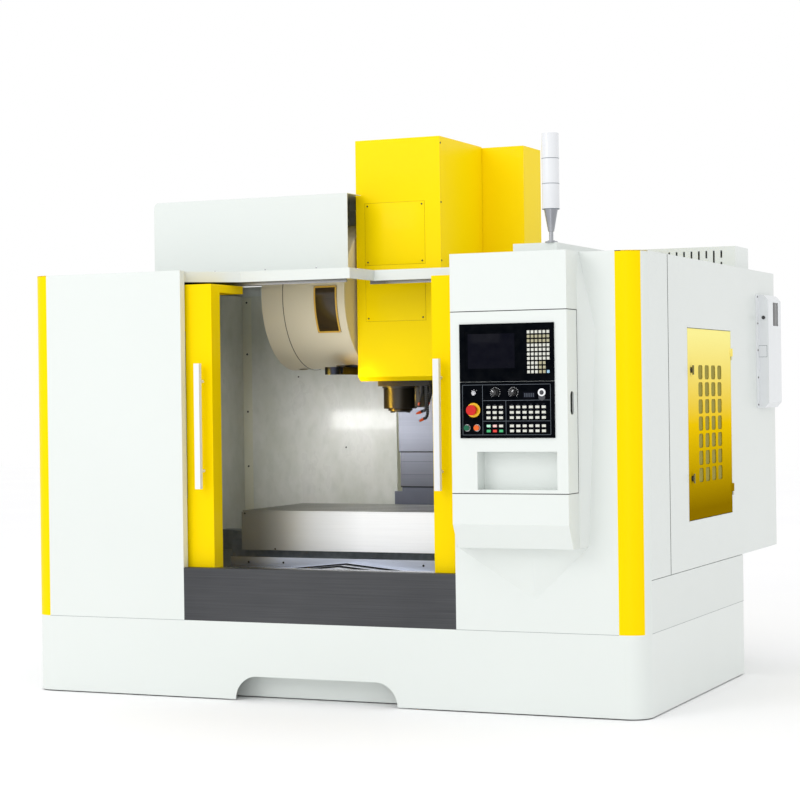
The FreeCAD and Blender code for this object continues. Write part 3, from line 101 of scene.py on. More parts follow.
# %% Studio
floor_size = 60.0
world_strength = 1.0
key_power, key_spot, key_light_size = 200.0, (-3.5, -9.5, 6.0), 5.0
fill_power, fill_spot, fill_light_size = 40.0, (2.6, -9.5, 1.4), 3.0
work_lamp_power, work_lamp_size, work_lamp_spread = 2.0, (0.9, 0.12), math.radians(75)
front_lamp_power, front_lamp_size = 0.55, (0.7, 0.3)
nose_lamp_power, nose_lamp_size, nose_lamp_spread = 0.9, (0.07, 0.22), math.radians(40)


def display(red, green, blue):
    """A colour given as it shows on a display, as the linear light that a shader wants."""
    def linear(v):
        v /= 255
        return v / 12.92 if v <= 0.04045 else ((v + 0.055) / 1.055) ** 2.4
    return (linear(red), linear(green), linear(blue))


def area_light(name, spot, target, power, size, spread=math.pi, colour=(1, 1, 1)):
    data = bpy.data.lights.new(name, "AREA")
    data.shape = "RECTANGLE"
    data.size, data.size_y = size
    data.spread, data.color, data.energy = spread, colour, power
    lamp = placed(name, data)
    lamp.location = spot
    lamp.rotation_euler = (Vector(target) - Vector(spot)).to_track_quat("-Z", "Y").to_euler()


def studio():
    world = bpy.data.worlds.new("studio")
    world.use_nodes = True
    sky = world.node_tree.nodes["Background"]
    sky.inputs["Color"].default_value = (1, 1, 1, 1)
    sky.inputs["Strength"].default_value = world_strength
    bpy.context.scene.world = world
    bpy.context.scene.view_settings.view_transform = "Standard"
    area_light("key", key_spot, (0, 0, 1.1), key_power, (key_light_size, key_light_size))
    area_light("fill", fill_spot, (-0.3, 0, 1.5), fill_power, (fill_light_size, fill_light_size))
    wall_low, wall_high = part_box("inner_walls")
    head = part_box("head_cover")[0]
    area_light(
        "work_lamp", (head.x - 0.85, wall_low.y + 0.25, 1.35), (head.x - 0.35, wall_high.y, 1.15),
        work_lamp_power, work_lamp_size, work_lamp_spread)
    area_light(
        "front_lamp", (head.x + 0.1, wall_low.y - 0.25, 1.3), (head.x + 0.15, head.y, 1.75),
        front_lamp_power, front_lamp_size, work_lamp_spread)
    nose_low, nose_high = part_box("spindle")
    lamp_z = nose_low.z + 0.06
    area_light(
        "nose_lamp", (nose_low.x - 0.42, nose_low.y - 0.45, lamp_z),
        (nose_low.x, nose_high.y, lamp_z), nose_lamp_power, nose_lamp_size, nose_lamp_spread,
        display(255, 205, 60))


studio()
print("world", world_strength, "key", key_power, "W")

# %% [markdown]
# ## Finish helpers
# A finish is a small network of nodes. This class keeps each one to a few lines: a shader, a
# place to read the pattern from, a noise, a way to spread it between two values, a mix of two
# colours and a relief. Patterns are read from object coordinates, in metres, so their scale is
# the real one and they stay put when a part moves. Colours are given as a display shows them.

# %% Finish helpers
coat_roughness = 0.06


class Finish:
    """A material in the making. Each step adds a node and gives one of its outputs."""

    def __init__(self, name, colour, roughness, metallic=0.0, coat=0.0, specular=0.5):
        self.material = bpy.data.materials.new(name)
        self.material.use_nodes = True
        self.tree = self.material.node_tree
        self.shader = self.tree.nodes["Principled BSDF"]
        self.fill(self.shader, {
            "Base Color": colour, "Roughness": roughness, "Metallic": metallic,
            "Coat Weight": coat, "Coat Roughness": coat_roughness,
            "Specular IOR Level": specular})

    def fill(self, node, values):
        """Links sockets to outputs, or sets them to numbers or colours."""
        for name, value in values.items():
            socket = node.inputs[name]
            if isinstance(value, bpy.types.NodeSocket):
                self.tree.links.new(value, socket)
            elif socket.type == "RGBA" and len(value) == 3:
                socket.default_value = (*display(*value), 1)
            else:
                socket.default_value = value

    def add(self, kind, output, values, **options):
        node = self.tree.nodes.new("ShaderNode" + kind)
        for name, option in options.items():
            setattr(node, name, option)
        self.fill(node, values)
        return node.outputs[output]

    def where(self, stretch=(1, 1, 1), output="Object"):
        coords = self.add("TexCoord", output, {})
        return self.add("Mapping", "Vector", {"Vector": coords, "Scale": stretch})

    def along(self, axis, output="Object"):
        return self.add("SeparateXYZ", axis, {"Vector": self.where(output=output)})

    def noise(self, scale, detail=3.0, roughness=0.5, place=None):
        place = self.where() if place is None else place
        return self.add(
            "TexNoise", "Fac",
            {"Vector": place, "Scale": scale, "Detail": detail, "Roughness": roughness})

    def spread(self, value, low=0, high=1, start=0.3, stop=0.7):
        """Stretches start..stop of a pattern to low..high."""
        return self.add(
            "MapRange", "Result",
            {"Value": value, "From Min": start, "From Max": stop, "To Min": low, "To Max": high})

    def between(self, share, first, second):
        """A colour between two colours or outputs, by a share from 0 to 1."""
        return self.add("Mix", 2, {"Factor": share, 6: first, 7: second}, data_type="RGBA")

    def done(self, colour, height, depth, **more):
        """Links the colour, a relief of a depth in metres, and what else varies."""
        normal = self.add("Bump", "Normal", {"Height": height, "Distance": depth, "Strength": 1.0})
        self.fill(self.shader, {"Base Color": colour, "Normal": normal, **more})
        return self.material


print("helpers ready")

# %% [markdown]
# ## Sprayed and baked paint
# The guards are sheet steel with a baked powder coat. It is never quite even: the powder melts
# into a faint orange peel of a few millimetres, and large sheets drift a little in tone. Both
# come from noise at those two scales, and a thin clear coat gives the gloss over the colour. A
# painted picture could do the same, but it would need unwrapping and would blur up close.

# %% Paints
def powder_coat(name, colour, drift, roughness=0.3, coat=0.2, peel=0.00012, specular=0.4):
    mix = Finish(name, colour, roughness, coat=coat, specular=specular)
    tone = mix.spread(mix.noise(0.9, 2))
    smear = mix.spread(mix.noise(5, 4), roughness - 0.02, roughness + 0.02)
    return mix.done(mix.between(tone, colour, drift), mix.noise(330, 2), peel, Roughness=smear)


white_paint = powder_coat("white_paint", (223, 228, 225), (221, 226, 223))
# Painted shade: the right side's sheets get the white paint made a little darker, since that side
# faces away from the key light.
white_paint_in_painted_shade = powder_coat("white_paint_in_painted_shade", (219, 224, 221), (216, 221, 218), 0.34)
yellow_paint = powder_coat("yellow_paint", (250, 217, 0), (248, 214, 0), 0.3, 0.02, specular=0.04)
hood_yellow = powder_coat("hood_yellow", (255, 224, 3), (253, 221, 2), 0.34, 0.04, specular=0.06)
cream_paint = powder_coat("cream_paint", (228, 228, 208), (220, 220, 200), 0.3)
handle_paint = powder_coat("handle_paint", (232, 234, 236), (226, 228, 230), 0.2, 0.4)
grey_casting_paint = powder_coat(
    "grey_casting_paint", (150, 156, 158), (132, 138, 141), 0.5, 0.1, 0.0006)
cooler_paint = powder_coat("cooler_paint", (228, 231, 233), (224, 227, 229), 0.4, 0.1)
black_paint_and_painted_shade = powder_coat("black_paint_and_painted_shade", (40, 40, 43), (28, 28, 31), 0.4, 0.1, 0.0004)
drum_paint = powder_coat("drum_paint", (230, 221, 195), (225, 216, 189), 0.5, 0.02, specular=0.25)
print("paints ready")

# %% [markdown]
# ## Metals
# Rolled and brushed sheet carries long fine scratches along one direction. A noise that is
# stretched a hundred times along the brushing gives them, in the colour, in the roughness and
# as a very shallow relief. Ground faces get finer lines, castings get lumps instead.

# %% Metals
def brushed_metal(name, colour, shade, stretch, roughness=0.32, streak=260, depth=0.00006,
                  metallic=1.0, cloud=2.2):
    mix = Finish(name, colour, roughness, metallic)
    lines = mix.noise(streak, 4, 0.65, mix.where(stretch))
    share = mix.add(
        "Math", "Value",
        {0: mix.spread(lines, 0, 0.5), 1: mix.spread(mix.noise(cloud, 3), 0, 0.5)})
    return mix.done(
        mix.between(share, colour, shade), lines, depth,
        Roughness=mix.spread(lines, roughness - 0.04, roughness + 0.05))


def casting(name, colour, shade):
    mix = Finish(name, colour, 0.6)
    lumps = mix.noise(26, 6, 0.6)
    return mix.done(mix.between(mix.spread(lumps), colour, shade), lumps, 0.0008)


along_x, along_y, along_z = (0.01, 1, 1), (1, 0.01, 1), (1, 1, 0.01)
dark_brushed = brushed_metal(
    "dark_brushed", (88, 89, 91), (71, 72, 75), along_x, 0.45, 200, 0.00002, cloud=1.6)
cover_steel = brushed_metal(
    "cover_steel", (202, 207, 218), (188, 194, 207), along_x, 0.3, 70, 0.00001, 0.85)
slide_steel = brushed_metal(
    "slide_steel", (108, 110, 120), (98, 101, 110), along_x, 0.34, 90, 0.00001, 0.6)
ground_steel = brushed_metal("ground_steel", (200, 200, 202), (160, 160, 164), along_x, 0.22, 420)
screw_steel = brushed_metal("screw_steel", (190, 190, 194), (120, 120, 126), along_z, 0.25, 300)
blued_steel = brushed_metal("blued_steel", (62, 66, 78), (34, 36, 44), along_y, 0.35, 180)
pot_alloy = brushed_metal("pot_alloy", (130, 132, 136), (90, 92, 98), along_x, 0.4)
lamp_metal = brushed_metal("lamp_metal", (176, 178, 182), (130, 132, 138), along_z, 0.3, 200)
plated = brushed_metal("plated", (215, 215, 218), (180, 180, 184), along_y, 0.15, 500)
bed_casting = casting("bed_casting", (128, 134, 137), (106, 112, 116))
print("metals ready")

# %% [markdown]
# ## Finishes that change over one part
# The table is ground on top and has a bright apron sheet in front, in one part of the frame,
# with a painted glare that makes the sheet grey at its left end and near white from its middle on.
# Its shader mixes the two by the surface's own direction: what looks up is the ground top.
# The vent door runs from a pale yellow at its top to a gold at its bottom, a painted highlight and
# painted shade in its yellow; the spindle nose is black below and gold above, the gold a painted
# reflection of the yellow round it; and the signal lamp is metal below and white plastic above.

# %% Finishes that change over one part
post_bend = 0.018
post_yellow = (250, 217, 0)


def two_tone(name, low, high, level, softness, roughness, metallic, axis="Z", coat=0.0):
    """low below a level of the height, high above it, with a soft or a sharp change."""
    mix = Finish(name, low[0], roughness[0], coat=coat)
    share = mix.spread(mix.along(axis), 0, 1, level - softness / 2, level + softness / 2)
    drift = mix.spread(mix.noise(3))
    return mix.done(
        mix.between(share, mix.between(drift, *low), mix.between(drift, *high)), mix.noise(300, 2),
        0.0001, Roughness=mix.spread(share, *roughness, 0, 1),
        Metallic=mix.spread(share, *metallic, 0, 1))


def table_finish():
    mix = Finish("table_finish", (168, 168, 163), 0.3, 0.55)
    is_top = mix.spread(mix.along("Z", "Normal"), 0, 1, 0.4, 0.6)
    lines = mix.noise(300, 4, 0.65, mix.where(along_x))
    top = mix.between(mix.spread(mix.noise(7, 5, 0.6)), (100, 99, 84), (78, 76, 62))
    low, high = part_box("table")
    # Painted glare: the front goes from grey at the table's left end to near white at its middle
    # and beyond.
    glare_share = mix.spread(mix.along("X"), 0, 1, low.x + 0.1, (low.x + high.x) / 2)
    front = mix.between(glare_share, (150, 152, 148), (254, 255, 255))
    streaked = mix.between(mix.spread(lines, 0, 0.08), front, (150, 152, 154))
    return mix.done(
        mix.between(is_top, streaked, top), lines, 0.000006,
        Roughness=mix.spread(lines, 0.3, 0.36))


def inner_sheet():
    """Satin sheet of the cutting space, its colour mottled by painted reflections, with small
    darker specks.
    """
    mix = Finish("inner_sheet", (222, 224, 218), 0.3, coat=0.2)
    place = mix.where((1, 1, 0.6))
    # Painted reflection: large soft blotches, paler and greener in turn, stand in for the mottled
    # reflections on the satin sheet.
    painted_reflections = mix.spread(mix.noise(2.4, 5, 0.62, place), 0, 1, 0.38, 0.66)
    specks = mix.spread(mix.noise(18, place=place), 0, 0.25, 0.5, 0.75)
    reflection_mottle = mix.between(painted_reflections, (238, 239, 234), (212, 216, 204))
    return mix.done(
        mix.between(specks, reflection_mottle, (190, 196, 184)), mix.noise(40, place=place), 0.0002,
        Roughness=mix.spread(painted_reflections, 0.24, 0.44, 0, 1))


def post_finish():
    """Yellow, except where the right post turns into the white side."""
    mix = Finish("post_finish", post_yellow, 0.3, specular=0.04)
    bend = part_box("corner_posts")[1].x - post_bend
    share = mix.spread(mix.along("X"), 0, 1, bend - 0.0005, bend + 0.0005)
    yellow = mix.between(mix.spread(mix.noise(0.9, 2)), post_yellow, (248, 214, 0))
    return mix.done(mix.between(share, yellow, (222, 227, 224)), mix.noise(330, 2), 0.0001)


def vent_painted_light():
    """Yellow at mid height, paler towards the top and gold towards the bottom: painted highlight
    above and painted shade below.
    """
    mix = Finish("vent_painted_light_and_shade", (236, 196, 10), 0.35, specular=0.0)
    low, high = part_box("vent_door")
    height, span = mix.along("Z"), high.z - low.z
    # Painted highlight above mid height and painted shade below it, as light falls on the door.
    upper = mix.spread(height, 0, 1, low.z + 0.5 * span, low.z + 0.97 * span)
    lower = mix.spread(height, 1, 0, low.z + 0.05 * span, low.z + 0.5 * span)
    pale = mix.between(upper, (238, 198, 10), (251, 241, 150))
    return mix.done(mix.between(lower, pale, (140, 110, 0)), mix.noise(330, 2), 0.0001)


nose_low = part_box("spindle")[0]
# Painted reflection: the gold above the level is the yellow round the spindle mirrored in its
# steel; the dark below is the spindle's own.
nose_black_with_painted_gold = two_tone(
    "nose_black_with_painted_gold", ((60, 52, 36), (40, 34, 24)), ((176, 146, 70), (140, 112, 50)), nose_low.z + 0.02,
    0.012, (0.3, 0.25), (0.8, 1.0))
way_finish = two_tone(
    "way_finish", ((202, 207, 218), (190, 196, 208)), ((104, 108, 122), (92, 96, 110)), 0.3, 0.02,
    (0.3, 0.4), (0.85, 0.3), axis="Y")
nose_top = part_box("head_cover")[0].z
head_finish = two_tone(
    "head_finish", ((46, 42, 34), (30, 28, 24)), ((120, 126, 130), (100, 106, 110)),
    nose_top + 0.05, 0.02, (0.35, 0.55), (0.6, 0.0))
lens_height = 0.357
lens_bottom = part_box("signal_lamp")[1].z - lens_height
lamp_finish = two_tone(
    "lamp_finish", ((178, 180, 184), (140, 142, 148)), ((226, 228, 231), (220, 222, 226)),
    lens_bottom, 0.002, (0.3, 0.18), (1.0, 0.0), coat=0.3)
print("mixed finishes ready")

# %% [markdown]
# ## Glass, plastics and rubber
# The windows are laminated sheets that let light through with a cold tint. Plastics differ in
# their grain: keys and knobs are moulded smooth, the panel's sheet has a fine matt texture.

# %% Glass, plastics and rubber
def clear_sheet(name, colour, roughness, transmission):
    mix = Finish(name, colour, roughness)
    smear = mix.spread(mix.noise(6, 4), roughness, roughness + 0.06)
    mix.fill(mix.shader, {"Transmission Weight": transmission, "IOR": 1.49, "Roughness": smear})
    return mix.material


def plastic(name, colour, roughness=0.35, grain=0.0001, scale=900, coat=0.0, specular=0.5):
    mix = Finish(name, colour, roughness, coat=coat, specular=specular)
    worn = mix.spread(mix.noise(25), 0, 0.25)
    lighter = (*(min(1.0, c * 1.3 + 0.01) for c in display(*colour)), 1)
    return mix.done(mix.between(worn, colour, lighter), mix.noise(scale, 2), grain)


window_glass = clear_sheet("window_glass", (214, 226, 224), 0.02, 0.92)
smoked_glass = clear_sheet("smoked_glass", (74, 60, 40), 0.08, 0.35)
panel_plastic = plastic("panel_plastic", (4, 6, 10), 0.6, 0.0001, specular=0.0)
key_white = plastic("key_white", (208, 209, 200), specular=0.2)
key_dark = plastic("key_dark", (58, 60, 66))
key_green = plastic("key_green", (60, 170, 110))
key_red = plastic("key_red", (214, 50, 40))
key_blue = plastic("key_blue", (150, 190, 214))
stop_red = plastic("stop_red", (196, 20, 12), 0.3, coat=0.1, specular=0.3)
ring_yellow = plastic("ring_yellow", (246, 190, 30), 0.3)
start_green = plastic("start_green", (0, 92, 62), 0.3, coat=0.1, specular=0.3)
hold_orange = plastic("hold_orange", (222, 96, 24), 0.3, coat=0.1, specular=0.3)
knob_black = plastic("knob_black", (26, 26, 28), 0.3, coat=0.3)
hose_orange = plastic("hose_orange", (222, 84, 30), 0.35, 0.0001)
hose_black = plastic("hose_black", (30, 30, 32), 0.5)
rubber = plastic("rubber", (24, 25, 26), 0.65, 0.0004, 500)
screen_glass = plastic("screen_glass", (7, 8, 18), 0.12, 0.00001, specular=0.03)
nozzle_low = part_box("coolant_nozzles")[0]
nozzle_finish = two_tone(
    "nozzle_finish", ((222, 84, 30), (214, 78, 28)), ((30, 30, 32), (38, 38, 40)),
    nozzle_low.z + 0.016, 0.001, (0.35, 0.5), (0, 0))
print("plastics ready")

# %% [markdown]
# ## Which part gets which finish
# Every part of the frame is named once. The print at the end counts the parts that are left
# without a finish, which has to be none.

# %% Which part gets which finish
finishes = {
    white_paint: ["base_skirt", "left_front_panel", "right_front_panel", "roof_panels",
                  "resistor_box", "magazine_top_cover", "console_fairing", "console_shell",
                  "console_door"],
    white_paint_in_painted_shade: ["side_panels", "right_side_panel", "electrical_cabinet"],
    yellow_paint: ["left_door", "right_door"],
    post_finish(): ["corner_posts"],
    hood_yellow: ["head_cover", "column_top_cover"],
    handle_paint: ["left_door_handle", "right_door_handle"],
    grey_casting_paint: ["magazine_bracket"],
    bed_casting: ["machine_bed", "saddle"],
    cream_paint: ["column"],
    # The chip pans get this black as painted shade for the shadow they lie in; the servos and the
    # collar's block are black of their own.
    black_paint_and_painted_shade: ["axis_servos", "chip_pans"],
    cooler_paint: ["cabinet_cooler"],
    drum_paint: ["magazine_drum_cover"],
    dark_brushed: ["door_apron"],
    cover_steel: ["y_cover_front", "y_cover_rear", "saddle_way_cover"],
    way_finish: ["way_covers_fixed"],
    slide_steel: ["z_cover_upper", "z_cover_middle"],
    ground_steel: ["linear_rails", "door_tracks", "levelling_pads"],
    screw_steel: ["x_ball_screw", "y_ball_screw", "z_ball_screw"],
    blued_steel: ["change_arm"],
    pot_alloy: ["tool_disc"],
    plated: ["key_switch"],
    window_glass: ["left_door_window", "right_door_window"],
    smoked_glass: ["magazine_window"],
    panel_plastic: ["operator_panel"],
    key_white: ["panel_keys"],
    stop_red: ["emergency_stop"],
    start_green: ["cycle_start"],
    hold_orange: ["feed_hold"],
    knob_black: ["feed_knob", "spindle_knob"],
    nozzle_finish: ["coolant_nozzles"],
    table_finish(): ["table"],
    inner_sheet(): ["inner_walls"],
    vent_painted_light(): ["vent_door"],
    nose_black_with_painted_gold: ["spindle"],
    head_finish: ["spindle_head"],
    lamp_finish: ["signal_lamp"],
}
for material, names in finishes.items():
    for node in names:
        slots = nodes[node].data.materials
        slots.clear()
        slots.append(material)
finished = {node for names in finishes.values() for node in names}
print("parts without a finish:", sorted(set(nodes) - finished))

# %% [markdown]
# ## The floor
# A plain pale floor, matt, that catches a soft shadow.

# %% The floor
def lay_floor():
    mesh = bpy.data.meshes.new("studio_floor")
    h = floor_size / 2
    mesh.from_pydata([(-h, -h, 0), (h, -h, 0), (h, h, 0), (-h, h, 0)], [], [(0, 1, 2, 3)])
    mix = Finish("studio_floor", (255, 255, 255), 0.9)
    speckle = mix.spread(mix.noise(0.5, 2))
    mix.fill(mix.shader, {"Base Color": mix.between(speckle, (255, 255, 255), (253, 253, 254))})
    mesh.materials.append(mix.material)
    placed("studio_floor", mesh)


lay_floor()

# %% [markdown]
# ## Tools for the small pieces
# Small turned and pressed pieces are drawn in one growing mesh: blocks with rolled edges and
# turned shapes with a profile of radius and height. Each face remembers its finish by number,
# so a piece of two materials is still one mesh. The mesh is placed in the machine's own frame,
# so a finished piece sits at the origin like every other part.

# %% Tools for the small pieces
corner_angle = math.radians(35)


def meshed(bm, *finishes):
    """A drawn shape as a plain mesh with its finishes."""
    mesh = bpy.data.meshes.new("shape")
    bm.to_mesh(mesh)
    bm.free()
    for finish in finishes:
        mesh.materials.append(finish)
    return mesh


def add_block(bm, low, high, finish=0, edge=0.0, steps=2):
    """A block between two corners, its edges rolled by a radius."""
    size = [max(h - l, 1e-6) for l, h in zip(low, high)]
    middle = [(l + h) / 2 for l, h in zip(low, high)]
    place = Matrix.Translation(middle) @ Matrix.Diagonal((*size, 1))
    made = bmesh.ops.create_cube(bm, size=1, matrix=place)["verts"]
    faces = {f for v in made for f in v.link_faces}
    if edge:
        edges = list({e for v in made for e in v.link_edges})
        rolled = bmesh.ops.bevel(
            bm, geom=edges, offset=edge, segments=steps, profile=0.5, affect="EDGES",
            clamp_overlap=True)
        faces = {f for f in faces if f.is_valid} | set(rolled["faces"])
    for face in faces:
        face.material_index = finish


def add_turned(bm, spot, facing, profile, finish=0, steps=24):
    """A turned shape: (radius, height) points along a direction from a spot, closed at 0."""
    turn = Z.rotation_difference(Vector(facing).normalized()).to_matrix().to_4x4()
    place = Matrix.Translation(spot) @ turn
    rings = []
    for radius, height in profile:
        count = steps if radius > 1e-7 else 1
        rings.append([bm.verts.new(place @ Vector((radius * math.cos(math.tau * i / steps),
                                                   radius * math.sin(math.tau * i / steps),
                                                   height))) for i in range(count)])
    for lower, upper in zip(rings, rings[1:]):
        for i in range(steps):
            j = (i + 1) % steps
            corners = [lower[i % len(lower)], lower[j % len(lower)],
                       upper[j % len(upper)], upper[i % len(upper)]]
            face = bm.faces.new(list(dict.fromkeys(corners)))
            face.material_index = finish


def piece(name, bm, finishes, body, replaced=()):
    """Makes a shape into a piece that rides on a body, smooth except at its corners."""
    mesh = meshed(bm, *finishes)
    mesh.name = name
    mesh.shade_smooth()
    mesh.set_sharp_from_angle(angle=corner_angle)
    made = placed(name, mesh)
    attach(made, body)
    if replaced:
        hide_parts(*replaced)


def block_piece(name, blocks, finish, body, edge=0.0):
    """A piece of plain blocks, each given by its two corners."""
    bm = bmesh.new()
    for low, high in blocks:
        add_block(bm, low, high, 0, edge)
    piece(name, bm, (finish,), body)


def middle_of(node, y=None):
    """The middle of a part, moved to a depth of its own where one is given."""
    low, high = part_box(node)
    middle = (low + high) / 2
    return middle if y is None else Vector((middle.x, y, middle.z))


print("block, turned shape and piece tools ready")

# %% [markdown]
# ## Repeats with Geometry Nodes
# Whatever repeats is drawn once and then placed by a node tree: points in, one copy on each
# point, turned to face a direction. The tree ends by making the copies real and by giving them
# their finish, and its result is saved as a plain mesh, so nothing live is left on the piece.
# One tree serves screws, keys, ticks and hose rings, because only the drawn piece, the points
# and the direction change.

# %% The copying tree
def copying_tree():
    tree = bpy.data.node_groups.new("copies_on_points", "GeometryNodeTree")
    sockets = {}
    for label, kind in (("Points", "Geometry"), ("Piece", "Object"), ("Facing", "Vector"),
                        ("Scale", "Float"), ("Finish", "Material")):
        item = tree.interface.new_socket(label, in_out="INPUT", socket_type="NodeSocket" + kind)
        sockets[label] = item.identifier
    tree.interface.new_socket("Copies", in_out="OUTPUT", socket_type="NodeSocketGeometry")
    given, result, source, align, copier, real, paint = (tree.nodes.new(kind) for kind in (
        "NodeGroupInput", "NodeGroupOutput", "GeometryNodeObjectInfo",
        "FunctionNodeAlignRotationToVector", "GeometryNodeInstanceOnPoints",
        "GeometryNodeRealizeInstances", "GeometryNodeSetMaterial"))
    align.axis = "Z"
    for start, output, end, entry in (
            (given, "Piece", source, "Object"), (given, "Facing", align, "Vector"),
            (given, "Points", copier, "Points"), (source, "Geometry", copier, "Instance"),
            (align, "Rotation", copier, "Rotation"), (given, "Scale", copier, "Scale"),
            (copier, "Instances", real, "Geometry"), (real, "Geometry", paint, "Geometry"),
            (given, "Finish", paint, "Material"), (paint, "Geometry", result, "Copies")):
        tree.links.new(start.outputs[output], end.inputs[entry])
    return tree, sockets


copies_tree, copies_sockets = copying_tree()
drawings = []


def drawn(draw):
    """One drawn shape as an object that the tree can copy. It is removed at the end."""
    bm = bmesh.new()
    draw(bm)
    drawings.append(placed("drawn", meshed(bm)))
    return drawings[-1]


def copies(shape, points, facing, finish, scale=1.0):
    """A plain mesh of one shape on each point, its own z turned to face a direction."""
    cloud = bpy.data.meshes.new("points")
    cloud.from_pydata([tuple(p) for p in points], [], [])
    holder = placed("points", cloud)
    modifier = holder.modifiers.new("copies", "NODES")
    modifier.node_group = copies_tree
    for label, value in (
            ("Piece", shape), ("Facing", tuple(facing)), ("Scale", scale), ("Finish", finish)):
        modifier[copies_sockets[label]] = value
    evaluated = holder.evaluated_get(bpy.context.evaluated_depsgraph_get())
    mesh = bpy.data.meshes.new_from_object(evaluated)
    bpy.data.objects.remove(holder)
    return mesh


def joined(name, meshes, body, replaced=()):
    """Several plain meshes as one piece on one body, each keeping its finish."""
    bm = bmesh.new()
    finishes = []
    for mesh in meshes:
        first = len(bm.faces)
        bm.from_mesh(mesh)
        bm.faces.ensure_lookup_table()
        for face in bm.faces[first:]:
            finish = mesh.materials[face.material_index]
            if finish not in finishes:
                finishes.append(finish)
            face.material_index = finishes.index(finish)
    piece(name, bm, finishes, body, replaced)


def grid(start, across, down, columns, rows, skip=()):
    """Points in columns and rows from a first corner, leaving some out."""
    return [start + across * i + down * j for i in range(columns) for j in range(rows)
            if (i, j) not in skip]


print("copying tree:", len(copies_tree.nodes), "nodes")

# %% [markdown]
# ## Screws
# The sheets are held by button-head screws: a low dome with a hexagon socket. The dome is one
# turned profile and the socket a flat near-black hexagon on its top, painted shade that stands for
# the well. Each row of screws is a set of points and the direction they face, and each body gets
# one piece, because screws move with what they hold.

# %% Screws
screw_r = 0.006


def screw_turned(profile, steps):
    """Draws a turned shape whose radii and heights are shares of the screw's radius."""
    return lambda bm: add_turned(
        bm, (0, 0, 0), Z, [(screw_r * r, screw_r * h) for r, h in profile], 0, steps)


dome = drawn(
    screw_turned([(1, 0), (1, 0.1925), (0.86, 0.4125), (0.5, 0.55), (0.42, 0.55), (0, 0.55)], 14))
socket = drawn(screw_turned([(0.42, 0.57), (0, 0.57)], 6))
# The socket is a flat hexagon on the dome, so its near-black is painted shade for the well.
socket_dark = plastic("socket_dark", (10, 10, 11), 0.6, specular=0.1)
black_oxide = plastic("black_oxide", (34, 33, 32), 0.35, 0.00004, specular=0.4)


def screws(points, facing, finish, size=1.0):
    """Meshes of the heads and their sockets, sunk a little into the sheet they hold."""
    facing = Vector(facing).normalized()
    seated = [Vector(p) - facing * 0.0002 for p in points]
    return [copies(dome, seated, facing, finish, size),
            copies(socket, seated, facing, socket_dark, size)]


print("screw head", screw_r * 2000, "mm wide")

# %% [markdown]
# ## Operator panel
# The keys are moulded caps with sloping sides, in blocks: a block is a grid of points with two
# pitches, so five blocks need five lines. The caps stand on the panel's face. The printed frame
# lines, the dial ticks and the little display are thin raised strips, and no words are printed.

# %% Keys
panel_low, panel_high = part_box("operator_panel")
face_y = panel_low.y
key_size = Vector((0.0135, 0.014))
wide_key = Vector((0.0195, 0.0125))
key_rise = 0.003


def draw_key(size):
    """A cap whose top is smaller than its foot, with rolled edges."""
    def draw(bm):
        foot, top = size / 2, size / 2 * 0.84
        rings = [(foot, 0), (foot, 0.0008), (top, key_rise * 0.85), (top * 0.93, key_rise)]
        corners = [[bm.verts.new((s * r.x, t * r.y, h)) for s, t in
                    ((-1, -1), (1, -1), (1, 1), (-1, 1))] for r, h in rings]
        for lower, upper in zip(corners, corners[1:]):
            for i in range(4):
                bm.faces.new((lower[i], lower[(i + 1) % 4], upper[(i + 1) % 4], upper[i]))
        bm.faces.new(corners[-1])
        bm.faces.new(corners[0][::-1])
    return draw


def on_panel(across, down, proud=0.0):
    """A place on the panel's face, by its distance from the left edge and below the top."""
    return Vector((panel_low.x + across, face_y - proud, panel_high.z - down))


small_cap, wide_cap = drawn(draw_key(key_size)), drawn(draw_key(wide_key))
key_facing = -Y
letter_step, letter_drop = X * 0.0191, Z * -0.0203
block_step, long_step, block_drop = X * 0.0308, X * 0.0312, Z * -0.0243
lower_drop = Z * -0.0230
letter_start = on_panel(0.3415, 0.042)
corner_key = letter_start + letter_step * 5 + letter_drop * 9
light = grid(letter_start, letter_step, letter_drop, 6, 10, skip=((5, 7), (5, 8), (5, 9)))
worn = [p for i, p in enumerate(light) if i % 10 in (1, 2) or i // 10 in (3, 4) and i % 10 > 6]
fresh = [p for p in light if p not in worn]
upper_start, lower_start = on_panel(0.1415, 0.3855), on_panel(0.1415, 0.472)
long_upper, long_lower = on_panel(0.2565, 0.3855), on_panel(0.2565, 0.472)
key_beige = plastic("key_beige", (170, 166, 138), specular=0.2)
key_pink = plastic("key_pink", (232, 190, 184))
key_mint = plastic("key_mint", (170, 222, 196))
key_meshes = [
    copies(small_cap, fresh, key_facing, key_white),
    copies(small_cap, worn, key_facing, key_beige),
    copies(small_cap, [corner_key], key_facing, key_blue)]
white_caps = (grid(upper_start, block_step, block_drop, 3, 3)
              + grid(long_upper, long_step, block_drop, 6, 3)
              + grid(long_lower, long_step, lower_drop, 6, 2)
              + [lower_start + block_step * 2])
key_meshes.append(copies(wide_cap, white_caps, key_facing, key_white))
for column, drop, finish in (
        (0, 0, key_mint), (1, 0, key_pink), (0, 1, key_green), (1, 1, key_red), (2, 1, key_green)):
    spot = lower_start + block_step * column + lower_drop * drop
    key_meshes.append(copies(wide_cap, [spot], key_facing, finish))
joined("key_caps", key_meshes, "console_door", ("panel_keys",))
print(len(light) + 1, "small keys and", len(white_caps) + 5, "wide keys")

# %% [markdown]
# ### Lines, dials and displays of the panel
# Thin strips stand two tenths of a millimetre proud, which is how a silk-screened frame reads at
# this distance. Each dial has a ring of ticks and its knob a white pointer, and the pointer rides
# on the knob so that it turns with it.

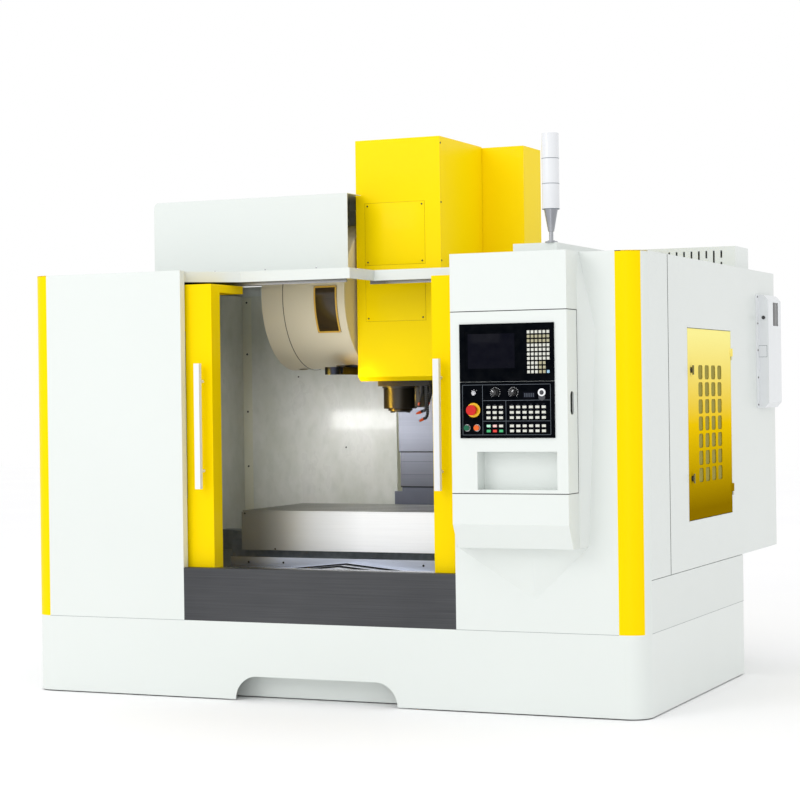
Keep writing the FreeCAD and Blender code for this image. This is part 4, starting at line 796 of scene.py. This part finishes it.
# %% Lines, dials and displays
line_grey = plastic("line_grey", (104, 112, 120), 0.5, specular=0.2)
mark_white = plastic("mark_white", (226, 228, 230), 0.4)
faint_mark = plastic("faint_mark", (60, 66, 76), 0.5, specular=0.2)
line_width, line_rise = 0.0014, 0.0002


def strip(bm, left, top, right, bottom, finish=0, rise=line_rise):
    """A raised strip on the panel's face, by distances from its left edge and below its top."""
    high = on_panel(right, top)
    low = on_panel(left, bottom, rise)
    add_block(bm, low, (high.x, face_y + 0.0001, high.z), finish)


def frame_lines(bm):
    left, right, top, bottom = 0.0125, 0.4465, 0.281, 0.5135
    first, second, upper, lower = 0.112, 0.227, 0.354, 0.449
    w = line_width
    for a, b, c, d in (
            (left, top, right, top + w), (left, bottom - w, right, bottom),
            (left, top, left + w, bottom), (right - w, top, right, bottom),
            (first, top, first + w, bottom), (first, upper, right, upper + w),
            (second, upper, second + w, bottom), (first, lower, right, lower + w)):
        strip(bm, a, b, c, d)


def legends(bm):
    """Faint dashes above the keys, in place of words."""
    for start, step, columns in ((upper_start, block_step, 3), (long_upper, long_step, 6)):
        for i in range(columns):
            for drop in (-0.5, 0.5, 1.5):
                spot = start + step * i + block_drop * drop
                add_block(bm, (spot.x - 0.005, face_y - line_rise, spot.z - 0.0007),
                          (spot.x + 0.005, face_y + 0.0001, spot.z + 0.0007), 1)


def ticks(bm, centre, count, inner, outer, finish, sweep=math.radians(270)):
    """Radial dashes round a dial, open at the bottom."""
    for i in range(count):
        angle = math.pi / 2 + sweep / 2 - sweep * i / (count - 1)
        along = Vector((math.cos(angle), 0, math.sin(angle)))
        side = Vector((-along.z, 0, along.x)) * 0.0006
        a, b = centre + along * inner, centre + along * outer
        face = bm.faces.new(
            [bm.verts.new(p - Y * line_rise) for p in (a - side, b - side, b + side, a + side)])
        face.material_index = finish
        face.normal_update()
        if face.normal.y > 0:
            face.normal_flip()


bm = bmesh.new()
frame_lines(bm)
legends(bm)
for knob in ("feed_knob", "spindle_knob"):
    ticks(bm, middle_of(knob, face_y), 15, 0.0205, 0.0255, 2)
ticks(bm, middle_of("key_switch", face_y), 3, 0.0145, 0.0185, 2, math.radians(90))
display_left, display_top, display_width, display_drop = 0.3125, 0.316, 0.060, 0.030
strip(bm, display_left, display_top, display_left + display_width, display_top + display_drop, 3,
      0.0012)
for i in range(5):
    x = display_left + 0.006 + i * 0.0104
    strip(bm, x, display_top + 0.006, x + 0.0062, display_top + 0.024, 1, 0.0014)
piece("panel_print", bm, (line_grey, faint_mark, mark_white, screen_glass), "console_door")

bm = bmesh.new()
port = on_panel(0.404, 0.320)
add_turned(
    bm, port, -Y,
    [(0.0185, 0), (0.0185, 0.0025), (0.017, 0.004), (0.011, 0.0045), (0.0105, 0.002), (0, 0.002)],
    0, 32)
add_turned(bm, port, -Y, [(0.0105, 0.0022), (0.0045, 0.0022), (0.0045, 0.0052), (0, 0.0056)], 1, 24)
add_turned(
    bm, port - Z * 0.021, -Y, [(0.0165, 0), (0.0165, 0.002), (0.0145, 0.0035), (0, 0.0038)], 1, 32)
piece("socket_with_cap", bm, (mark_white, key_dark), "console_door")

screen_left, screen_right, screen_top, screen_bottom = 0.0415, 0.2735, 0.046, 0.207
glass_low, glass_high = on_panel(screen_left, screen_bottom), on_panel(screen_right, screen_top)
block_piece(
    "screen",
    [((glass_low.x, face_y + 0.0002, glass_low.z), (glass_high.x, face_y + 0.0018, glass_high.z))],
    screen_glass, "console_door", 0.0008)


def pointer(name, knob, angle, length, width):
    """A white line on a knob's face, from its middle outwards, that turns with the knob."""
    along = Vector((math.sin(angle), 0, math.cos(angle)))
    turn = Z.rotation_difference(along).to_matrix().to_4x4()
    place = Matrix.Translation(middle_of(knob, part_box(knob)[0].y)) @ turn
    bm = bmesh.new()
    add_block(bm, (-width / 2, -0.0005, length * 0.15), (width / 2, 0.0003, length), 0, 0.0003)
    bmesh.ops.transform(bm, matrix=place, verts=bm.verts)
    piece(name, bm, (mark_white,), knob)


pointer("feed_pointer", "feed_knob", math.radians(-40), 0.015, 0.003)
pointer("spindle_pointer", "spindle_knob", math.radians(40), 0.015, 0.003)
pointer("key_pointer", "key_switch", math.radians(160), 0.0095, 0.0035)

for name, buttons, finish, steps, profile in (
        ("stop_collar", ("emergency_stop",), ring_yellow, 40,
         [(0.0335, 0), (0.0335, 0.0025), (0.031, 0.0055), (0.0225, 0.0055), (0.0225, 0.0004),
          (0.0145, 0.0004)]),
        ("button_rings", ("cycle_start", "feed_hold"), plated, 32,
         [(0.0165, 0), (0.0165, 0.002), (0.0155, 0.003), (0.0136, 0.003), (0.0136, 0.0004)])):
    bm = bmesh.new()
    for button in buttons:
        add_turned(bm, middle_of(button, face_y), -Y, profile, 0, steps)
    piece(name, bm, (finish,), "console_door")
print("panel dressed")

# %% [markdown]
# ## Spindle head
# The head's hood carries two access plates on its front and a row of screws down its right edge.
# The spindle end is dressed with a black ring and two drive keys. Two jointed coolant hoses with
# orange mouths hang beside it, and wipers close the foot of each sliding cover. The plates
# could be cut into the hood, but its mesh is exact and stays as it is, so each is a thin block
# laid on it, over a darker and slightly wider one that stands for the gap.

# %% Bent strips
def add_arc(bm, spot, radius, rise, x_low, x_high, start, stop, finish=0):
    """A strip bent round the x axis; angles run from the front, -y, upwards."""
    count = max(2, round(abs(stop - start) / math.radians(3)))
    rows = []
    for i in range(count + 1):
        angle = start + (stop - start) * i / count
        out = Vector((0, -math.cos(angle), math.sin(angle)))
        rows.append([bm.verts.new(Vector(spot) + X * x + out * r) for x, r in
                     ((x_low, radius), (x_low, radius + rise), (x_high, radius + rise),
                      (x_high, radius))])
    for lower, upper in zip(rows, rows[1:]):
        for i in range(4):
            j = (i + 1) % 4
            bm.faces.new((lower[i], upper[i], upper[j], lower[j])).material_index = finish
    for row in (rows[0][::-1], rows[-1]):
        bm.faces.new(row).material_index = finish
    bmesh.ops.recalc_face_normals(bm, faces=bm.faces)


def corners_of(low, high, inset, y):
    return [(x, y, z) for x in (low.x + inset, high.x - inset)
            for z in (low.z + inset, high.z - inset)]


print("arc tool ready")

# %% Hood of the head
hood_low, hood_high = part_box("head_cover")
plate_left, plate_right = hood_low.x + 0.0515, hood_high.x - 0.0885
plate_rise, plate_inset = 0.0014, 0.015
plate_heights = ((1.897, 2.165), (2.192, 2.517))
side_screw_heights = (2.815, 2.507, 2.204, 1.900, 1.640)
bm = bmesh.new()
plate_screws = []
for bottom, top in plate_heights:
    low = Vector((plate_left, hood_low.y - plate_rise, bottom))
    high = Vector((plate_right, hood_low.y + 0.0002, top))
    add_block(bm, low, high, 0, 0.0006)
    add_block(bm, low - Vector((0.0012, -0.001, 0.0012)), high + Vector((0.0012, 0, 0.0012)), 1)
    plate_screws += corners_of(low, high, plate_inset, low.y)
side_screws = [(hood_high.x, hood_low.y + 0.012, z) for z in side_screw_heights]
hood_shade = plastic("hood_shade", (150, 118, 0), 0.6, specular=0.1)
joined("head_plates", [meshed(bm, hood_yellow, hood_shade),
                       *screws(plate_screws, -Y, black_oxide, 0.8),
                       *screws(side_screws, X, black_oxide, 0.9)], "head")
print(len(plate_screws) + len(side_screws), "screws on the hood")

# %% Spindle end
end_spot = middle_of("spindle")
end_spot.z = nose_low.z
bm = bmesh.new()
add_turned(
    bm, end_spot, -Z,
    [(0.0545, -0.0003), (0.0545, 0.004), (0.051, 0.007), (0.036, 0.007), (0.036, -0.0003)], 0, 48)
for side in (-1, 1):
    x = end_spot.x + side * 0.0445
    add_block(bm, (x - 0.008, end_spot.y - 0.0125, end_spot.z - 0.011),
              (x + 0.008, end_spot.y + 0.0125, end_spot.z - 0.001), 1, 0.001)
piece("spindle_ring", bm, (black_oxide, blued_steel), "spindle")

head_nose_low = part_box("spindle_head")[0]
collar_spot = Vector((end_spot.x, end_spot.y, head_nose_low.z))
bm = bmesh.new()
add_turned(
    bm, collar_spot, Z,
    [(0.0675, 0.0002), (0.0675, -0.002), (0.0860, -0.002), (0.0885, 0.0005), (0.0882, 0.003)], 0,
    64)
add_turned(
    bm, collar_spot + Z * 0.106, Z,
    [(0.0882, 0), (0.0945, 0.002), (0.0945, 0.0105), (0.0882, 0.0105)], 0, 64)
block_low = Vector((end_spot.x + 0.100, end_spot.y - 0.040, head_nose_low.z + 0.004))
block_high = Vector((end_spot.x + 0.128, end_spot.y + 0.05, head_nose_low.z + 0.1165))
add_block(bm, block_low, block_high, 1, 0.004)
hose_beads = []


def add_hose(bm, points, radius):
    """A hose of ball joints: a bead on every few millimetres of a bent line."""
    for a, b in zip(points, points[1:]):
        a, b = Vector(a), Vector(b)
        count = max(1, round((b - a).length / (radius * 1.3)))
        for i in range(count):
            spot = a + (b - a) * i / count
            add_turned(bm, spot, b - a, [(0, 0), (radius * 0.8, 0), (radius, radius * 0.45),
                                         (radius * 0.8, radius * 1.2), (0, radius * 1.2)], 2, 12)
            hose_beads.append(spot)
    end, before = Vector(points[-1]), Vector(points[-2])
    add_turned(bm, end, end - before, [(radius * 0.9, 0), (radius * 0.9, radius),
                                       (radius * 0.45, radius * 3.6), (0, radius * 3.6)], 3, 12)


for drop, lean, reach in ((0.022, 0.030, 0.050), (0.058, 0.022, 0.036)):
    root = Vector((block_high.x + 0.088 - lean, block_low.y - 0.052, block_high.z + 0.002))
    bend = Vector((root.x + 0.008, root.y - 0.014, head_nose_low.z - drop + 0.032))
    low_bend = bend + Vector((-0.004, -0.004, -0.022))
    tip = low_bend + Vector((-reach * 0.5, 0.004, -0.008))
    add_hose(bm, (root, bend, low_bend, tip), 0.0085)
piece("spindle_collar", bm, (black_oxide, black_paint_and_painted_shade, hose_black, hose_orange), "head")
print(len(hose_beads), "hose joints")

# %% Wipers of the sliding covers
wiper_black = plastic("wiper_black", (20, 21, 24), 0.5, specular=0.2)
for node, body, lines in (
        ("z_cover_upper", "head", ()), ("z_cover_middle", "z_cover_middle", (0.145, 0.071))):
    low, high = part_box(node)
    bm = bmesh.new()
    add_block(
        bm, (low.x, low.y - 0.0016, low.z), (high.x, low.y + 0.001, low.z + 0.0065), 0, 0.0005)
    for rise in lines:
        add_block(bm, (low.x + 0.004, low.y - 0.0004, low.z + rise),
                  (high.x - 0.004, low.y + 0.001, low.z + rise + 0.0014), 0)
    piece(node + "_wiper", bm, (wiper_black,), body)
ridge_fall = 0.1
for node in ("y_cover_front", "y_cover_rear"):
    low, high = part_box(node)
    bm = bmesh.new()
    half, middle = (high.x - low.x) / 2, (high.x + low.x) / 2
    for side in (-1, 1):
        ends = [(middle, high.z), (middle + side * half, high.z - half * ridge_fall)]
        lip = [bm.verts.new((x, y, z + rise)) for y, rise in
               ((low.y - 0.001, -0.011), (low.y - 0.001, 0.0012), (low.y + 0.006, 0.0012))
               for x, z in ends]
        bm.faces.new((lip[0], lip[1], lip[3], lip[2]))
        bm.faces.new((lip[2], lip[3], lip[5], lip[4]))
    bmesh.ops.recalc_face_normals(bm, faces=bm.faces)
    piece(node + "_wiper", bm, (wiper_black,), node)

front_low, front_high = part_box("saddle_way_cover")
cover_screws = [(x, front_low.y, front_high.z - 0.026) for x in (-0.62, -0.42, 0.36, 0.56)]
joined("saddle_plate_screws", screws(cover_screws, -Y, black_oxide), "saddle")

table_low, table_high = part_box("table")
apron_screws = [(x, table_low.y, z) for inset, z in ((0.019, table_high.z - 0.016), (0.195, 0.716))
                for x in (table_low.x + inset, table_high.x - inset)]
joined("table_screws", screws(apron_screws, -Y, black_oxide, 0.8), "table")
print("head, covers and table dressed")

# %% [markdown]
# ## Tool magazine
# The drum's skin is rolled from two sheets, so a seam band runs round it, and its open end has a
# folded rim. The small window is held by a gilt frame with four screws. A bevelled curve could
# make the bands, but strips bent by angle fit the frame's own arc exactly, with few faces.

# %% Tool magazine
drum_low, drum_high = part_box("magazine_drum_cover")
drum_radius = (drum_high.z - drum_low.z) / 2
drum_middle = Vector((0, drum_low.y + drum_radius, (drum_high.z + drum_low.z) / 2))
glass_low, glass_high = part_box("magazine_window")
glass_radius = drum_middle.y - glass_low.y
window_above, window_below = math.radians(7), math.radians(-30)
frame_width, frame_sink, frame_rise = 0.009, 0.0004, 0.002
frame_turn = frame_width / glass_radius
gilt = plastic("gilt", (214, 170, 60), 0.3, 0.00002, specular=0.6)
seam_shade = plastic("seam_shade", (110, 102, 84), 0.5, specular=0.2)
bm = bmesh.new()
around = math.radians(138)
add_arc(bm, drum_middle, drum_radius, 0.0012, drum_low.x + 0.124, drum_low.x + 0.128, -around,
        around, 1)
add_arc(bm, drum_middle, drum_radius, 0.004, drum_high.x - 0.012, drum_high.x - 0.0005, -around,
        around, 2)
for x in (glass_low.x, glass_high.x - frame_width):
    add_arc(bm, drum_middle, glass_radius - frame_sink, frame_rise, x, x + frame_width,
            window_below, window_above, 0)
for angle in (window_below, window_above - frame_turn):
    add_arc(bm, drum_middle, glass_radius - frame_sink, frame_rise, glass_low.x, glass_high.x,
            angle, angle + frame_turn, 0)
joined("drum_bands", [meshed(bm, gilt, seam_shade, drum_paint)], "machine")
frame_screws = []
for angle in (window_above - frame_turn / 2, window_below + frame_turn / 2):
    out = Vector((0, -math.cos(angle), math.sin(angle)))
    points = [drum_middle + out * (glass_radius + 0.0015) + X * x for x in
              (glass_low.x + frame_width / 2, glass_high.x - frame_width / 2)]
    frame_screws += screws(points, out, plated, 0.55)
joined("drum_window_screws", frame_screws, "machine")
print("drum radius", round(drum_radius, 3))

# %% [markdown]
# ## Right side
# Behind the vent door's slots lies a khaki sheet, painted shade that stands for the shaded louvres,
# and two black latches hold the door. The cabinet's cooler hangs on a flange with five screws and
# shows a dark display. Caps close the rounded posts, and rubber seals darken the seams between the
# sheets. A real seam is a groove.
# Here it is a dark strip a few tenths of a millimetre proud, which shows the same line.

# %% Right side
vent_low, vent_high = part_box("vent_door")
sheet_face = vent_high.x - 0.015
# Painted shade: a flat khaki sheet behind the slots stands for the louvres in their shade.
slot_shade_sheet = plastic("slot_shade_sheet", (150, 140, 66), 0.8, 0.0012, 240, specular=0.1)
bm = bmesh.new()
add_block(
    bm, (sheet_face - 0.006, vent_low.y + 0.14, vent_low.z + 0.12),
    (sheet_face - 0.0045, vent_high.y - 0.12, vent_high.z - 0.13), 0)
for drop in (0.205, 0.738):
    spot = Vector((sheet_face, vent_low.y + 0.055, vent_high.z - drop))
    add_turned(bm, spot, X, [(0.0145, 0), (0.0145, 0.008), (0.012, 0.0102), (0, 0.0102)], 1, 24)
    add_block(bm, (sheet_face + 0.0085, spot.y - 0.0072, spot.z - 0.0232),
              (sheet_face + 0.0156, spot.y + 0.0072, spot.z + 0.0232), 1, 0.002)
piece("vent_filter_and_latches", bm, (slot_shade_sheet, knob_black), "vent_door")

cooler_low, cooler_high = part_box("cabinet_cooler")
flange_heights = (2.019, 1.873, 1.727, 1.578, 1.429)
flange_screws = [(cooler_low.x + 0.006, cooler_low.y + 0.02, z) for z in flange_heights]
face = cooler_low.y + 0.042
bm = bmesh.new()
add_turned(
    bm, Vector((cooler_low.x + 0.0335, face, 1.905)), -Y,
    [(0.010, -0.0002), (0.010, 0.005), (0.008, 0.006), (0, 0.006)], 0, 24)
port_x, port_z, port_line = (cooler_low.x + 0.0055, cooler_low.x + 0.0505), (1.690, 1.752), 0.0008
for a, b, c, d in ((0, 0, 1, 0), (0, 1, 1, 1), (0, 0, 0, 1), (1, 0, 1, 1)):
    add_block(bm, (port_x[a] - port_line, face - 0.0006, port_z[b] - port_line),
              (port_x[c] + port_line, face + 0.0002, port_z[d] + port_line), 1)
add_block(
    bm, (cooler_high.x - 0.0031, cooler_low.y + 0.1475, 1.8625),
    (cooler_high.x - 0.0018, cooler_low.y + 0.2615, 1.9895), 2, 0.0005)
joined(
    "cooler_details",
    [meshed(bm, knob_black, line_grey, socket_dark), *screws(flange_screws, X, black_oxide, 0.9)],
    "machine")


# %% Caps, seals and lines
posts = nodes["corner_posts"].data.vertices
bm = bmesh.new()
for side in (-1, 1):
    ring = [v.co for v in posts if v.co.x * side > 0]
    top = max(co.z for co in ring)
    corners = [bm.verts.new((co.x, co.y, z)) for co in ring if co.z > top - 0.001
               for z in (top - 0.004, top - 0.0005)]
    bmesh.ops.convex_hull(bm, input=corners)
    bmesh.ops.delete(
        bm, geom=[v for v in corners if v.is_valid and not v.link_faces], context="VERTS")
piece("post_caps", bm, (hood_yellow,), "machine")

side_low, side_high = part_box("right_side_panel")
post_low, post_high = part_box("corner_posts")
seal_rise, seal_width = 0.0003, 0.007
block_piece("side_seal", [((post_high.x - 0.006, side_low.y + 0.0025 - seal_width, side_low.z),
                           (post_high.x + seal_rise, side_low.y + 0.0025, side_high.z - 0.001))],
            rubber, "machine")

door_low, door_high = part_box("console_door")
seal_x = door_high.x + seal_rise
seals = [((door_high.x - 0.0015, door_high.y - 0.003, door_low.z),
          (seal_x, door_high.y + seal_rise, door_high.z))]
for z_low, z_high in (
        (door_low.z - 0.0026, door_low.z + 0.001), (door_high.z - 0.001, door_high.z + 0.0026)):
    seals += [
        ((door_low.x, door_low.y - seal_rise, z_low), (seal_x, door_low.y + 0.0015, z_high)),
        ((door_high.x - 0.0015, door_low.y, z_low), (seal_x, door_high.y, z_high))]
block_piece("console_door_seal", seals, rubber, "console_door")

apron_low, apron_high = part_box("door_apron")
line_shade = plastic("line_shade", (150, 155, 156), 0.6, specular=0.1)
half_line, side_end = 0.001, 0.612
line_low, line_high = post_low.z - half_line, post_low.z + half_line
foot_lines = [((left, post_low.y - 0.0004, line_low), (right, post_low.y + 0.0006, line_high))
              for left, right in ((post_low.x + 0.1, apron_low.x),
                                  (apron_high.x, post_high.x - 0.13))]
foot_lines.append(
    ((post_high.x - 0.0006, post_high.y, line_low), (post_high.x + 0.0004, side_end, line_high)))
block_piece("foot_line", foot_lines, line_shade, "machine")

grip_front, grip_back, grip_bottom, grip_top = -1.2735, -1.2275, 1.4105, 1.5165
block_piece("grip_lining", [((door_high.x - 0.0165, grip_front, grip_bottom),
                             (door_high.x - 0.0085, grip_back, grip_top))], socket_dark,
            "console_door")
print("right side dressed")

# %% [markdown]
# ## Inside the guard and on the roof
# The back wall is made of sheets held by screws, with a corner strip at its left end. Small
# screws also hold the magazine's top cover, and dark rings part the lamp's lenses. The copying
# tree already knows how to place screws, so each row here is only a list of points.

# %% Inside and roof
wall_low, wall_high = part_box("inner_walls")
wall_face = wall_high.y - 0.003
strip_left, strip_right, strip_foot, strip_rise = -1.363, -1.304, 0.66, 0.002
bm = bmesh.new()
add_block(
    bm, (strip_left, wall_face - strip_rise, strip_foot),
    (strip_right, wall_face + 0.0002, wall_high.z - 0.06), 0, 0.0006)
strip_screws = [((strip_left + strip_right) / 2, wall_face - strip_rise, z)
                for z in (0.80, 1.10, 1.42, 1.757, 2.06)]
wall_screws = [(x, wall_face, z) for z, row in ((0.955, (-0.368, 0.42)), (1.21, (-0.70, 0.90)),
                                                (1.62, (-1.0, 1.25))) for x in row]
joined("wall_strip", [meshed(bm, cream_paint), *screws(strip_screws, -Y, black_oxide),
                      *screws(wall_screws, -Y, black_oxide, 0.8)], "machine")

lamp_low, lamp_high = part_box("signal_lamp")
foot = middle_of("signal_lamp")
foot.z = lamp_low.z
lamp_radius = (lamp_high.x - lamp_low.x) / 2
bm = bmesh.new()
for rise in (0.0, 0.119, 0.238):
    spot = Vector((foot.x, foot.y, lens_bottom + rise))
    add_turned(bm, spot, Z, [(lamp_radius - 0.001, -0.0016), (lamp_radius + 0.0006, -0.0012),
                             (lamp_radius + 0.0006, 0.0012), (lamp_radius - 0.001, 0.0016)], 0, 32)
add_turned(bm, foot, Z, [(0.030, -0.0002), (0.030, 0.004), (0.028, 0.006), (0.0165, 0.006)], 1, 32)
joined("lamp_rings", [meshed(bm, line_grey, lamp_metal)], "machine")

roof_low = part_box("magazine_top_cover")[0]
top_screws = [(x, roof_low.y, roof_low.z + 0.03) for x in (-1.25, -0.95, -0.65, -0.35)]
joined("roof_screws", screws(top_screws, -Y, plated, 0.7), "machine")
print("inside and roof dressed")

# %% [markdown]
# ## Clear the drawing board
# The shapes that the copying tree read were never part of the machine, so they go.

# %% Clear the drawing board
for shape in drawings:
    bpy.data.objects.remove(shape)
print(len(drawings), "drawn shapes removed")
